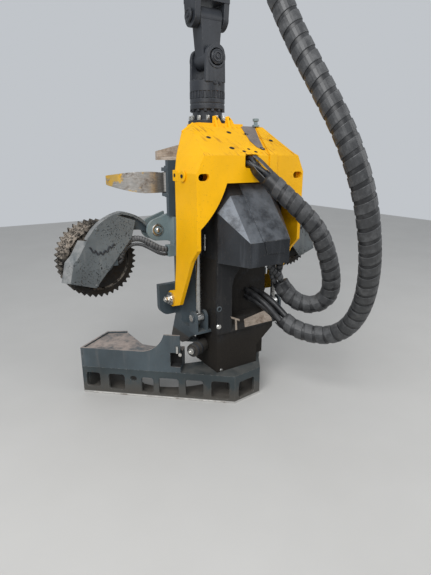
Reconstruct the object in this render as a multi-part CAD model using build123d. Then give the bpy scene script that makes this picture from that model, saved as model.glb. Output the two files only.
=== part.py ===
from build123d import *
import math
import os

# Timber harvester head, standing upright on its saw box, with rotator and swing link.
# Millimetres. X runs to the right as seen from the back, Y to the trunk side, Z up.
# The origin is on the ground, under the middle of the main frame's back face.

# Main frame: a column with a cradle in front that the trunk lies against
FRAME_HALF_WIDTH = 240
FRAME_BOTTOM = 480
FRAME_TOP = 1440
FRAME_SIDE_DEPTH = 215
CHEEK_OUTER = 345
CHEEK_INNER = 300
CHEEK_BACK = 300
CHEEK_FRONT = 385
CHEEK_TOP = 1572
CRADLE_DEEPEST = 190
TOP_CHAMFER_DEPTH = 60
TOP_CHAMFER_DROP = 72
FOOT_HALF_WIDTH = 232
FOOT_BACK = 18
FOOT_FRONT = 300
HOLLOW_DEPTH = 130
HOLLOW_EDGE = 95
HOLLOW_HIGH = (330, 442)
GUSSET_PLATE = 20
GUSSET_LOW = 345

# Ear on each side of the frame, in front of the tilt pin
EAR_OUTER = 463
EAR_BACK = 392
EAR_FRONT = 430
EAR_LOW = 536
EAR_HIGH = 756
EAR_CORNER = 70

# Recess in the back face where the hoses come in
RECESS_LEFT = -130
RECESS_FLOOR = 555
SILL_DEPTH = 50
SILL_LOW = 488
RECESS_CEILING = 955
RECESS_ARC_START_Z = 780
RECESS_ARC_END_X = 20
RECESS_DEPTH = 130

# Hose cover on the back face
COVER_HALF_WIDTH = 150
COVER_REACH = 215
COVER_EAVE = 1110
COVER_SHOULDER = 1270
COVER_BOTTOM = 963

# Saw box: a V in plan, one wall with windows and two plates, open to the trunk
BOX_HEIGHT = 200
BOX_PLATE = 15
BOX_WALL = 20
HEEL_LEFT = (-163, -94)
HEEL_RIGHT = (64, -70)
RIGHT_BEND = (222, 163)
RIGHT_TIP = (420, 392)
RIGHT_TIP_INNER = (330, 470)
LEFT_TIP = (-974, 600)
LEFT_TIP_FAR = (-720, 780)
PADDLE_TIP = (-590, 710)
PADDLE_ROOT = (-580, 450)
ARM_CROTCH = (-520, 372)
WINDOW_CORNER = 18

# Upper housing over the saw bar on the left arm
POCKET_LOW = 340
POCKET_HIGH = 470
POCKET_LOW_LENGTH = 420
POCKET_RISE_END = 590
POCKET_LENGTH = 700
POCKET_PLATE = 12
NOTCH_START = 632
NOTCH_LOW = 242
NOTCH_HIGH = 345
NOTCH_DEPTH = 60

# Saw bar with its chain, and its pivot
BAR_PIVOT = (-60, 62)
BAR_LEVEL = 84
BAR_THICKNESS = 12
BAR_REACH = 850
BAR_TAIL = 60
BAR_WIDTH = 96
BAR_DIRECTION = 141.3
PIVOT_RADIUS = 30

# Tilt frame: hood, two legs and the pins that it tilts on
TILT_PIN_Y = 330
TILT_PIN_Z = 670
TILT_PIN_RADIUS = 30
TILT_BOSS_RADIUS = 55
LEG_OUTER = 400
LEG_THICKNESS = 25
HOOD_BACK = -30
HOOD_WALL = 25
HOOD_BACK_TOP = 1600
HOOD_SIDE_TOP = 1500
HOOD_EAVE = (350, 1600)
HOOD_KNEE = (256, 1746)
HOOD_FRONT = 235
HOOD_LOW = 1186
ARCH_MIDDLE = (262, 1308)
ARCH_TOP = 194
SLOT_PLACE = (352, 1480)
SLOT_SIZE = (72, 40)
RIDGE_Y = 380
RIDGE_Z = 1800
TONGUE_THICKNESS = 35
TONGUE_HALF_WIDTH = 175
TONGUE_RADIUS = 140
HOOD_BACK_EDGE = 1443
HOLE_X = -16
HOLE_Z = 1567
HOLE_WIDTH = 100
HOLE_HEIGHT = 78
BULKHEAD_HALF = 80
BULKHEAD_Y = 24
BULKHEAD_LOW = 1478
RIDGE_LUG_PLACES = (-38, 62)
RIDGE_LUG_PLATE = 16
RIDGE_LUG_HOLE = 7
PIN_CLEARANCE = 0.05
RUNNING_GAP = 6
FACE_GAP = 0.3

# Tilt cylinders, one inside each leg
CYLINDER_X = 310
CYLINDER_PIN_Y = 124
CYLINDER_PIN_Z = 1483
ROD_EYE_Y = 120
ROD_EYE_Z = 586
BARREL_RADIUS = 38
BARREL_START = 66
BARREL_LENGTH = 470
ROD_RADIUS = 17.5
ROD_INSIDE = 60
EYE_RADIUS = 32
EYE_WIDTH = 46
CYLINDER_PIN_RADIUS = 16
LUG_PLATE = 18
LUG_FLOOR = 497

# Stub on the frame's lower side, pointing out and back
STUB_CENTRE = (-372, 105, 362)
STUB_DIRECTION = (-0.906, -0.423, 0)
STUB_RADIUS = 43
STUB_LENGTH = 165

# Rotator and swing link above the hood
ROTATOR_Y = 510
ROTATOR_RADIUS = 117
ROTATOR_FLANGE_TOP = 1842
ROTATOR_HOUSING_TOP = 1958
ROTATOR_RIBS_TOP = 2003
ROTATOR_COLLAR_TOP = 2066
SWING_PIN_Z = 2200
CRANE_PIN_Z = 2440
SWING_PIN_RADIUS = 25
LINK_HALF_WIDTH = 125
LINK_EAR = 34
LINK_NECK = 80
FORK_EAR = 38
FORK_HALF_DEPTH = 80
FORK_EYE_RISE = 175
FORK_EYE_HALF = 62
FORK_EYE_RADIUS = 30

# Feed roller arms
ARM_HINGE_X = 441
ARM_HINGE_Z = 1128
ARM_PIN_RADIUS = 25
ARM_BACK = 468
ARM_FRONT = 515
ARM_WEB = 20
ARM_HUB_RADIUS = 46
ROLLER_X = 815
ROLLER_Z = 950
ROLLER_RADIUS = 250
ROLLER_DRUM_RADIUS = 227
ROLLER_ROWS = 16
ROLLER_LUG_WIDTH = 26
ROLLER_BACK = 526
ROLLER_FRONT = 676
AXLE_RADIUS = 40
GUARD_BACK = 455
GUARD_SHEET = 7
GUARD_FLARE = 40
GUARD_LIP = 30
MOTOR_RADIUS = 78
BRACKET_PLATE = 23
BRACKET_RADIUS = 72
BRACKET_RISE = 108
BRACKET_PAD = 24
PORT_Y = 362
PORT_Z = 996
PORT_SIZE = 56
PORT_HEIGHT = 72
PORT_LENGTH = 62
MOTOR_PORT_REACH = 104
MOTOR_PORT_HEIGHT = 72

# Knives
UPPER_HINGE_X = 360
UPPER_HINGE_Y = 425
KNIFE_PIN_RADIUS = 18
KNIFE_HUB_RADIUS = 36
KNIFE_THICKNESS = 20
TOP_KNIFE_PLATE = 18
TOP_KNIFE_BLADE = 14
TOP_KNIFE_RISE = 99
UPPER_KNIFE_LEFT = (1370, 1502)
UPPER_KNIFE_RIGHT = (1276, 1364)
UPPER_POST_LOW = 1224
LOWER_KNIFE_LOW = 364
LOWER_KNIFE_HIGH = 430
LOWER_STAGGER = 76
LOWER_HINGE_X = 275
LOWER_HINGE_Y = 345

# Roller in the cradle
BED_ROLLER_RADIUS = 100
BED_ROLLER_HALF_WIDTH = 85
BED_ROLLER_Y = 150
BED_ROLLER_Z = 1000
BED_AXLE_RADIUS = 20
BED_SLOT_GAP = 14

# Hose bundles in their spiral guards, and the hoses that fan out into them
BUNDLE_DIAMETER = 118
BUNDLE_RADIUS = BUNDLE_DIAMETER / 2
TAIL_RADIUS = 16


# Helpers for shapes
def outline(steps):
    """A closed face from a start point and steps: a point draws a line, a pair of points an arc."""
    edges = []
    start = here = steps[0]
    for step in steps[1:] + [start]:
        arc = isinstance(step[0], tuple)
        end = step[1] if arc else step
        if math.dist(here, end) > 1e-6:
            edges.append(ThreePointArc(here, step[0], end) if arc else Line(here, end))
        here = end
    return make_face(edges)


def prism_x(steps, low, high):
    """An outline drawn in Y and Z, between two X values."""
    return Plane(origin=(low, 0, 0), x_dir=(0, 1, 0), z_dir=(1, 0, 0)) * extrude(outline(steps), high - low)


def prism_y(steps, low, high):
    """An outline drawn in X and Z, between two Y values."""
    return Plane(origin=(0, high, 0), x_dir=(1, 0, 0), z_dir=(0, -1, 0)) * extrude(outline(steps), high - low)


def prism_z(steps, low, high):
    """An outline drawn in X and Y, between two heights."""
    return Pos(0, 0, low) * extrude(outline(steps), high - low)


def rod_x(low, high, y, z, radius):
    """A round bar along X."""
    place = Plane(origin=(low, y, z), x_dir=(0, 1, 0), z_dir=(1, 0, 0))
    return place * Cylinder(radius, high - low, align=(Align.CENTER, Align.CENTER, Align.MIN))


def rod_y(x, low, high, z, radius):
    """A round bar along Y."""
    place = Plane(origin=(x, high, z), x_dir=(1, 0, 0), z_dir=(0, -1, 0))
    return place * Cylinder(radius, high - low, align=(Align.CENTER, Align.CENTER, Align.MIN))


def rod_z(x, y, low, high, radius):
    """A round bar along Z."""
    return Pos(x, y, low) * Cylinder(radius, high - low, align=(Align.CENTER, Align.CENTER, Align.MIN))


def block(low, high):
    """A box between two corners."""
    size = [b - a for a, b in zip(low, high)]
    return Pos(*low) * Box(*size, align=(Align.MIN, Align.MIN, Align.MIN))


def mirrored(shape):
    """The same piece on the right side."""
    return mirror(shape, about=Plane.YZ)


def toward(start, end, distance):
    """The point at a distance from start on the way to end."""
    length = math.dist(start, end)
    return tuple(a + (b - a) * distance / length for a, b in zip(start, end))


def inner_chain(points, distance):
    """The line of points moved to its left by a distance, with its corners mitred."""
    moved = []
    for index, (x, y) in enumerate(points):
        before = points[max(index - 1, 0)]
        after = points[min(index + 1, len(points) - 1)]
        first = Vector(x - before[0], y - before[1], 0) if before != (x, y) else None
        second = Vector(after[0] - x, after[1] - y, 0) if after != (x, y) else None
        first = (first or second).normalized()
        second = (second or first).normalized()
        normal = Vector(-first.Y - second.Y, first.X + second.X, 0).normalized()
        reach = distance / normal.dot(Vector(-first.Y, first.X, 0))
        moved.append((x + normal.X * reach, y + normal.Y * reach))
    return moved


def hose(points, radius):
    """A tube along straight runs with an arc at each point, as large as the two runs allow."""
    radii = []
    for before, here, after in zip(points, points[1:], points[2:]):
        turn = (Vector(here) - Vector(before)).get_angle(Vector(after) - Vector(here))
        shorter = min(math.dist(before, here), math.dist(here, after))
        radii.append(0.45 * shorter / math.tan(math.radians(turn) / 2))
    print("arcs", [round(r) for r in radii])
    path = FilletPolyline(*points, radius=radii)
    section = Plane(origin=path @ 0, z_dir=path % 0) * Circle(radius)
    tube = sweep(section, path=path)
    print("tube length", round(path.length), "volume share", round(tube.volume / (path.length * math.pi * radius**2), 4))
    return tube


# Frame
def shoulder_cut():
    """A cutter for the sloping shoulder on the left of the hose cover, parallel to its roof."""
    slope = TOP_CHAMFER_DROP / TOP_CHAMFER_DEPTH
    start = -COVER_REACH - 60
    edge = FRAME_TOP - TOP_CHAMFER_DROP + slope * start
    fall = (FRAME_TOP - TOP_CHAMFER_DROP - COVER_SHOULDER) / (FRAME_HALF_WIDTH - COVER_HALF_WIDTH)
    wide = FRAME_HALF_WIDTH + 30
    face = outline(
        [
            (-COVER_HALF_WIDTH, edge),
            (-COVER_HALF_WIDTH, edge + 400),
            (-wide, edge + 400),
            (-wide, edge - fall * (wide - COVER_HALF_WIDTH)),
        ]
    )
    place = Plane(origin=(0, start, 0), x_dir=(1, 0, 0), z_dir=(0, -1, 0))
    return extrude(place * face, 500, dir=(0, 1, slope))


def side_ear():
    """The left ear on the cheek's front, with a rounded lower corner, and its foot on the cheek."""
    ear = prism_y(
        [
            (-CHEEK_INNER, EAR_LOW),
            (-CHEEK_INNER, EAR_HIGH),
            (-EAR_OUTER, EAR_HIGH),
            (-EAR_OUTER, EAR_LOW + EAR_CORNER),
            (
                (-EAR_OUTER + EAR_CORNER * 0.29, EAR_LOW + EAR_CORNER * 0.29),
                (-EAR_OUTER + EAR_CORNER, EAR_LOW),
            ),
        ],
        EAR_BACK,
        EAR_FRONT,
    )
    return ear + block((-CHEEK_OUTER, CHEEK_FRONT - 1, EAR_LOW), (-CHEEK_INNER, EAR_BACK, EAR_HIGH))


def gusset():
    """The left side plate under the cheek, down towards the saw box, and the floor that closes it."""
    outer = CHEEK_OUTER
    plate = prism_x(
        [
            (ROD_EYE_Y - 30, FRAME_BOTTOM),
            (181, 431),
            (269, GUSSET_LOW + 15),
            (300, GUSSET_LOW),
            (462, GUSSET_LOW),
            (CHEEK_FRONT, FRAME_BOTTOM + 60),
            (CHEEK_FRONT - 20, FRAME_BOTTOM),
        ],
        -outer,
        GUSSET_PLATE - outer,
    )
    floor = prism_z(
        [
            (-FRAME_HALF_WIDTH, ROD_EYE_Y + 42),
            (-outer, ROD_EYE_Y + 42),
            (-outer, CHEEK_BACK),
            (-FRAME_HALF_WIDTH, FRAME_SIDE_DEPTH),
        ],
        FRAME_BOTTOM,
        LUG_FLOOR,
    )
    return plate + floor


def foot_hollow():
    """A cutter for the hollow under the foot's right back corner."""
    low_z, high_z = HOLLOW_HIGH
    side = FOOT_HALF_WIDTH + 1
    return prism_y(
        [(HOLLOW_EDGE, BOX_HEIGHT - 1), (HOLLOW_EDGE, low_z), (side, high_z), (side, BOX_HEIGHT - 1)],
        FOOT_BACK - 1,
        HOLLOW_DEPTH,
    )


def recess_sill():
    """A cutter for the sloping sill between the recess floor and the back face."""
    return prism_x(
        [(-1, SILL_LOW), (0, SILL_LOW), (SILL_DEPTH, RECESS_FLOOR), (SILL_DEPTH, RECESS_FLOOR + 1), (-1, RECESS_FLOOR + 1)],
        RECESS_LEFT,
        FRAME_HALF_WIDTH + 1,
    )


def main_frame():
    """The column, its two cheeks, the cradle, the hose recess and the slot of the cradle roller."""
    half_plan = [
        (FRAME_HALF_WIDTH, 0),
        (FRAME_HALF_WIDTH, FRAME_SIDE_DEPTH),
        (CHEEK_OUTER, CHEEK_BACK),
        (CHEEK_OUTER, CHEEK_FRONT),
        (CHEEK_INNER, CHEEK_FRONT),
    ]
    left_plan = [(-x, y) for x, y in reversed(half_plan)]
    cradle = ((0, CRADLE_DEEPEST), left_plan[0])
    column = prism_z(half_plan + [cradle] + left_plan[1:], FRAME_BOTTOM, FRAME_TOP)
    cheek = prism_z(
        [(CHEEK_INNER, CHEEK_BACK), (CHEEK_OUTER, CHEEK_BACK), (CHEEK_OUTER, CHEEK_FRONT), (CHEEK_INNER, CHEEK_FRONT)],
        FRAME_TOP,
        CHEEK_TOP,
    )
    chamfer_cut = prism_x(
        [
            (-1, FRAME_TOP - TOP_CHAMFER_DROP - 1.2),
            (TOP_CHAMFER_DEPTH + 1, FRAME_TOP + 1.2),
            (-1, FRAME_TOP + 1.2),
        ],
        -CHEEK_OUTER,
        CHEEK_OUTER,
    )
    recess = prism_y(
        [
            (RECESS_LEFT, RECESS_FLOOR),
            (FRAME_HALF_WIDTH + 1, RECESS_FLOOR),
            (FRAME_HALF_WIDTH + 1, RECESS_CEILING),
            (RECESS_ARC_END_X, RECESS_CEILING),
            ((RECESS_LEFT + 45, RECESS_CEILING - 62), (RECESS_LEFT, RECESS_ARC_START_Z)),
        ],
        -1,
        RECESS_DEPTH,
    )
    slot_half = BED_ROLLER_HALF_WIDTH + BED_SLOT_GAP
    slot_height = BED_ROLLER_RADIUS + BED_SLOT_GAP
    slot = block(
        (-slot_half, BED_ROLLER_Y - slot_height, BED_ROLLER_Z - slot_height),
        (slot_half, CHEEK_FRONT, BED_ROLLER_Z + slot_height),
    )
    foot = block((-FOOT_HALF_WIDTH, FOOT_BACK, BOX_HEIGHT), (FOOT_HALF_WIDTH, FOOT_FRONT, FRAME_BOTTOM))
    place = Plane(origin=STUB_CENTRE, z_dir=STUB_DIRECTION)
    stub = place * Cylinder(STUB_RADIUS, STUB_LENGTH, align=(Align.CENTER, Align.CENTER, Align.MAX))
    stub = stub + place * Cylinder(STUB_RADIUS - 14, 10, align=(Align.CENTER, Align.CENTER, Align.MIN))
    body = column + cheek + mirrored(cheek) + foot - foot_hollow() - chamfer_cut - recess - recess_sill() - slot
    body = body - shoulder_cut() - mirrored(shoulder_cut())
    for side in (side_ear(), gusset()):
        body = body + side + mirrored(side)
    body = body + stub
    axle = rod_x(-slot_half, slot_half, BED_ROLLER_Y, BED_ROLLER_Z, BED_AXLE_RADIUS)
    return body + axle


def bed_roller():
    """The roller that stands out of the cradle."""
    drum = rod_x(-BED_ROLLER_HALF_WIDTH, BED_ROLLER_HALF_WIDTH, BED_ROLLER_Y, BED_ROLLER_Z, BED_ROLLER_RADIUS)
    bore = rod_x(
        -BED_ROLLER_HALF_WIDTH, BED_ROLLER_HALF_WIDTH, BED_ROLLER_Y, BED_ROLLER_Z, BED_AXLE_RADIUS + PIN_CLEARANCE
    )
    return drum - bore


def hose_cover():
    """The cover on the back face that the hoses come out under: a roof, two shoulders and slanted sides."""
    slope_top = FRAME_TOP - TOP_CHAMFER_DROP
    side = prism_x(
        [(0, slope_top), (-COVER_REACH, COVER_EAVE), (-COVER_REACH, COVER_BOTTOM), (0, COVER_BOTTOM)],
        -FRAME_HALF_WIDTH,
        FRAME_HALF_WIDTH,
    )
    plan = prism_z(
        [
            (-FRAME_HALF_WIDTH, 0),
            (-COVER_HALF_WIDTH, -COVER_REACH),
            (COVER_HALF_WIDTH, -COVER_REACH),
            (FRAME_HALF_WIDTH, 0),
        ],
        COVER_BOTTOM,
        slope_top,
    )
    return (side & plan) - shoulder_cut() - mirrored(shoulder_cut())


def top_knife():
    """The fixed knife on the cheeks: a plate along the cradle's upper edge and a standing blade at each side."""
    inner = CHEEK_INNER + 5
    tip = (-CHEEK_OUTER - 85, CHEEK_FRONT + 55)
    plan = [
        (-tip[0] - 5, tip[1]),
        (inner, CHEEK_FRONT + 5),
        ((0, CRADLE_DEEPEST + 5), (-inner, CHEEK_FRONT + 5)),
        (tip[0] + 5, tip[1]),
        (25 - CHEEK_OUTER, CHEEK_BACK + 45),
        ((0, CRADLE_DEEPEST - 40), (CHEEK_OUTER - 25, CHEEK_BACK + 45)),
    ]
    plate = prism_z(plan, CHEEK_TOP, CHEEK_TOP + TOP_KNIFE_PLATE)
    root = (-CHEEK_INNER + 32, CHEEK_FRONT + 3)
    blade_plan = prism_z(
        [tip, root, (root[0], root[1] - TOP_KNIFE_BLADE), (tip[0] + 6, tip[1] - TOP_KNIFE_BLADE)],
        CHEEK_TOP,
        CHEEK_TOP + TOP_KNIFE_RISE,
    )
    blade_face = prism_y(
        [
            (tip[0], CHEEK_TOP),
            (tip[0], CHEEK_TOP + TOP_KNIFE_RISE - 46),
            (root[0], CHEEK_TOP + TOP_KNIFE_RISE),
            (root[0], CHEEK_TOP),
        ],
        CHEEK_FRONT - 40,
        CHEEK_FRONT + 60,
    )
    blade = blade_plan & blade_face
    return plate + blade + mirrored(blade)


def tilt_pin():
    """The left tilt pin: a boss on the frame's side, the pin through the leg and its washer."""
    leg_inner = LEG_OUTER - LEG_THICKNESS
    boss = rod_x(-leg_inner + RUNNING_GAP, -CHEEK_OUTER + 60, TILT_PIN_Y, TILT_PIN_Z, TILT_BOSS_RADIUS - 8)
    boss = boss - block(
        (-CHEEK_OUTER, CHEEK_BACK - 100, TILT_PIN_Z - 100), (-CHEEK_OUTER + 100, CHEEK_FRONT + 100, TILT_PIN_Z + 100)
    )
    pin = rod_x(-LEG_OUTER - 28, -CHEEK_OUTER - 5, TILT_PIN_Y, TILT_PIN_Z, TILT_PIN_RADIUS)
    washer = rod_x(-LEG_OUTER - 16, -LEG_OUTER - FACE_GAP, TILT_PIN_Y, TILT_PIN_Z, TILT_PIN_RADIUS + 14)
    return boss + pin + washer


def rod_lugs():
    """The left clevis on the frame's side for the eye of the tilt cylinder's rod."""
    inner = CYLINDER_X - EYE_WIDTH / 2 - RUNNING_GAP - LUG_PLATE
    outer = CYLINDER_X + EYE_WIDTH / 2 + RUNNING_GAP + LUG_PLATE
    radius = EYE_RADIUS + 10
    profile = [
        (ROD_EYE_Y - radius, FRAME_BOTTOM),
        (ROD_EYE_Y - radius, ROD_EYE_Z),
        ((ROD_EYE_Y, ROD_EYE_Z + radius), (ROD_EYE_Y + radius, ROD_EYE_Z)),
        (ROD_EYE_Y + radius, FRAME_BOTTOM),
    ]
    cheeks = prism_x(profile, -outer, -outer + LUG_PLATE) + prism_x(profile, -inner - LUG_PLATE, -inner)
    floor = block(
        (-outer, ROD_EYE_Y - radius, FRAME_BOTTOM), (-FRAME_HALF_WIDTH, ROD_EYE_Y + radius, LUG_FLOOR)
    )
    caps = rod_x(-outer - 9, -outer, ROD_EYE_Y, ROD_EYE_Z, EYE_RADIUS - 4)
    return cheeks + floor + caps


def roller_bracket():
    """The left fork on the cheek with the pin that the roller arm hangs on, and the port of its hoses."""
    root_low = ARM_HINGE_Z - BRACKET_RADIUS - 6
    plate_backs = (GUARD_BACK - RUNNING_GAP - BRACKET_PLATE, ARM_FRONT + RUNNING_GAP)
    fork = block(
        (-CHEEK_OUTER - BRACKET_PAD, CHEEK_BACK + 30, root_low),
        (-CHEEK_OUTER, plate_backs[1] + BRACKET_PLATE, UPPER_POST_LOW - 6),
    )
    for back in plate_backs:
        fork = fork + prism_y(
            [
                (-CHEEK_OUTER, root_low),
                (-CHEEK_OUTER, ARM_HINGE_Z + BRACKET_RISE),
                (-ARM_HINGE_X - 25, ARM_HINGE_Z + BRACKET_RADIUS - 4),
                (
                    (-ARM_HINGE_X - BRACKET_RADIUS, ARM_HINGE_Z),
                    (-ARM_HINGE_X - 19, ARM_HINGE_Z - BRACKET_RADIUS + 2),
                ),
            ],
            back,
            back + BRACKET_PLATE,
        )
    port = block(
        (-CHEEK_OUTER - PORT_LENGTH, PORT_Y - PORT_SIZE / 2, PORT_Z - PORT_HEIGHT / 2),
        (-CHEEK_OUTER, PORT_Y + PORT_SIZE / 2, PORT_Z + PORT_HEIGHT / 2),
    )
    strap = block(
        (-CHEEK_OUTER - BRACKET_PAD, PORT_Y - PORT_SIZE / 2, PORT_Z),
        (-CHEEK_OUTER, PORT_Y + PORT_SIZE / 2, ARM_HINGE_Z),
    )
    pin = rod_y(
        -ARM_HINGE_X,
        plate_backs[0] - 14,
        plate_backs[1] + BRACKET_PLATE + 10,
        ARM_HINGE_Z,
        ARM_PIN_RADIUS,
    )
    return fork + pin + port + strap


def upper_knife_post(knife_low, knife_high):
    """The left post on the cheek that carries the upper knife's pin, for a knife between two heights."""
    post = block((-UPPER_HINGE_X - 33, CHEEK_BACK + 45, UPPER_POST_LOW), (-CHEEK_OUTER, CHEEK_FRONT - 8, CHEEK_TOP))
    for bottom, top in ((knife_low - 24, knife_low - 2), (knife_high + 2, knife_high + 24)):
        post = post + prism_z(
            [
                (-UPPER_HINGE_X - KNIFE_HUB_RADIUS, CHEEK_FRONT - 30),
                (-CHEEK_OUTER - 0.5, CHEEK_FRONT - 30),
                (-CHEEK_OUTER - 0.5, CHEEK_FRONT),
                (-UPPER_HINGE_X + KNIFE_HUB_RADIUS, CHEEK_FRONT),
                (-UPPER_HINGE_X + KNIFE_HUB_RADIUS, UPPER_HINGE_Y),
                (
                    (-UPPER_HINGE_X, UPPER_HINGE_Y + KNIFE_HUB_RADIUS),
                    (-UPPER_HINGE_X - KNIFE_HUB_RADIUS, UPPER_HINGE_Y),
                ),
            ],
            bottom,
            top,
        )
    return post + rod_z(-UPPER_HINGE_X, UPPER_HINGE_Y, knife_low - 30, knife_high + 34, KNIFE_PIN_RADIUS)


def upper_knife(low, high):
    """The left upper knife between two heights: a hub and a curved blade, tallest in the middle."""
    bore = rod_z(-UPPER_HINGE_X, UPPER_HINGE_Y, low, high, KNIFE_PIN_RADIUS + PIN_CLEARANCE)
    hub = rod_z(-UPPER_HINGE_X, UPPER_HINGE_Y, low + 5, high - 5, KNIFE_HUB_RADIUS - 2)
    half = KNIFE_THICKNESS / 2
    x, y = -UPPER_HINGE_X - 10, UPPER_HINGE_Y
    blade = prism_z(
        [
            (x, y + half),
            ((x - 200, y + 20 + half), (x - 338, y + 156)),
            (x - 348, y + 151),
            ((x - 203, y + 20 - half), (x, y - half)),
        ],
        low,
        high,
    )
    face = prism_y(
        [
            (x + 40, low + 10),
            (x + 40, high - 20),
            ((x - 160, high), (x - 356, high - 28)),
            (x - 356, high - 78),
            ((x - 150, low), (x + 40, low + 10)),
        ],
        y - 60,
        y + 260,
    )
    return hub + (blade & face) - bore


def lower_knife_post(stagger):
    """The left post on the foot that carries the lower knife's pin, set down by the stagger."""
    low = LOWER_KNIFE_LOW - stagger
    high = LOWER_KNIFE_HIGH - stagger
    post = rod_z(-LOWER_HINGE_X, LOWER_HINGE_Y, low - 26, high + 26, KNIFE_PIN_RADIUS)
    for bottom, top in ((low - 22, low - 2), (high + 2, high + 22)):
        post = post + prism_z(
            [
                (-FOOT_HALF_WIDTH, FOOT_FRONT - 75),
                (-FOOT_HALF_WIDTH, FOOT_FRONT),
                (-LOWER_HINGE_X + KNIFE_HUB_RADIUS, LOWER_HINGE_Y),
                (
                    (-LOWER_HINGE_X, LOWER_HINGE_Y + KNIFE_HUB_RADIUS),
                    (-LOWER_HINGE_X - KNIFE_HUB_RADIUS, LOWER_HINGE_Y),
                ),
                (-LOWER_HINGE_X - KNIFE_HUB_RADIUS, LOWER_HINGE_Y - 45),
            ],
            bottom,
            top,
        )
    return post


def lower_knife(stagger):
    """The left lower knife, pointing forward and a little inward, set down by the stagger."""
    x, y = -LOWER_HINGE_X, LOWER_HINGE_Y
    hub = rod_z(x, y, LOWER_KNIFE_LOW, LOWER_KNIFE_HIGH, KNIFE_HUB_RADIUS - 2)
    bore = rod_z(x, y, LOWER_KNIFE_LOW, LOWER_KNIFE_HIGH, KNIFE_PIN_RADIUS + PIN_CLEARANCE)
    half = KNIFE_THICKNESS / 2
    blade = prism_z(
        [
            (x - half, y + 10),
            ((x - half + 14, y + 170), (x + 108, y + 322)),
            (x + 116, y + 312),
            ((x + half + 18, y + 165), (x + half, y + 10)),
        ],
        LOWER_KNIFE_LOW + 4,
        LOWER_KNIFE_HIGH - 4,
    )
    return Pos(0, 0, -stagger) * (hub + blade - bore)


# Saw box
def saw_box_plan(inset):
    """The plan of the saw box: heel, right arm, trunk side and left arm."""
    return [
        HEEL_LEFT,
        HEEL_RIGHT,
        RIGHT_BEND,
        RIGHT_TIP,
        RIGHT_TIP_INNER,
        ((-90, 215 + inset), ARM_CROTCH),
        PADDLE_ROOT,
        PADDLE_TIP,
        LEFT_TIP_FAR,
        LEFT_TIP,
    ]


# Windows in the long wall, from the left tip: distance along the wall, width, height, height of the middle
LEFT_WINDOWS = [
    (77, 100, 108, 104),
    (246, 116, 116, 98),
    (368, 48, 38, 132),
    (465, 84, 116, 88),
    (615, 138, 126, 88),
    (793, 124, 126, 88),
    (970, 124, 128, 92),
]
# Windows in the heel, from its right end, and in the right wall, from the right bend, the same columns
HEEL_WINDOWS = [(122, 140, 118, 88)]
RIGHT_WINDOWS = [(70, 80, 100, 94), (195, 90, 100, 94)]


def window(start, end, distance, width, height, middle):
    """A cutter for one rounded window in the wall that runs from start to end."""
    place = toward(start, end, distance)
    along = Vector(end[0] - start[0], end[1] - start[1], 0).normalized()
    across = along.cross(Vector(0, 0, 1))
    plane = Plane(origin=(place[0], place[1], middle), x_dir=along, z_dir=across)
    face = plane * RectangleRounded(width, height, min(WINDOW_CORNER, height / 2 - 1))
    return extrude(face, BOX_WALL * 2, both=True)


def saw_box():
    """The base: floor and top plate, the outer wall with its windows, open on the trunk side."""
    floor = prism_z(saw_box_plan(0), 0, BOX_PLATE)
    top = prism_z(saw_box_plan(0), BOX_HEIGHT - BOX_PLATE, BOX_HEIGHT)
    chain = [LEFT_TIP_FAR, LEFT_TIP, HEEL_LEFT, HEEL_RIGHT, RIGHT_BEND, RIGHT_TIP]
    wall = prism_z(chain + inner_chain(chain, BOX_WALL)[::-1], BOX_PLATE, BOX_HEIGHT - BOX_PLATE)
    for table, start, end in (
        (LEFT_WINDOWS, LEFT_TIP, HEEL_LEFT),
        (HEEL_WINDOWS, HEEL_RIGHT, HEEL_LEFT),
        (RIGHT_WINDOWS, RIGHT_BEND, HEEL_RIGHT),
    ):
        for distance, width, height, middle in table:
            wall = wall - window(start, end, distance, width, height, middle)
    pivot = rod_z(BAR_PIVOT[0], BAR_PIVOT[1], BOX_PLATE, BOX_HEIGHT - BOX_PLATE, PIVOT_RADIUS)
    return floor + top + wall + pivot


def saw_bar():
    """The guide bar with its chain round it, lying in the left arm."""
    half = BAR_WIDTH / 2
    nose = BAR_REACH - half
    bar = prism_z(
        [
            (-BAR_TAIL, -half + 12),
            (nose, -half),
            ((BAR_REACH, 0), (nose, half)),
            (-BAR_TAIL, half - 12),
        ],
        BAR_LEVEL,
        BAR_LEVEL + BAR_THICKNESS,
    )
    hub = rod_z(0, 0, BOX_PLATE + RUNNING_GAP, BAR_LEVEL + BAR_THICKNESS + 30, PIVOT_RADIUS + 22)
    bore = rod_z(0, 0, 0, BOX_HEIGHT, PIVOT_RADIUS + PIN_CLEARANCE)
    return Pos(BAR_PIVOT[0], BAR_PIVOT[1], 0) * Rot(0, 0, BAR_DIRECTION) * (bar + hub - bore)


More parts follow.
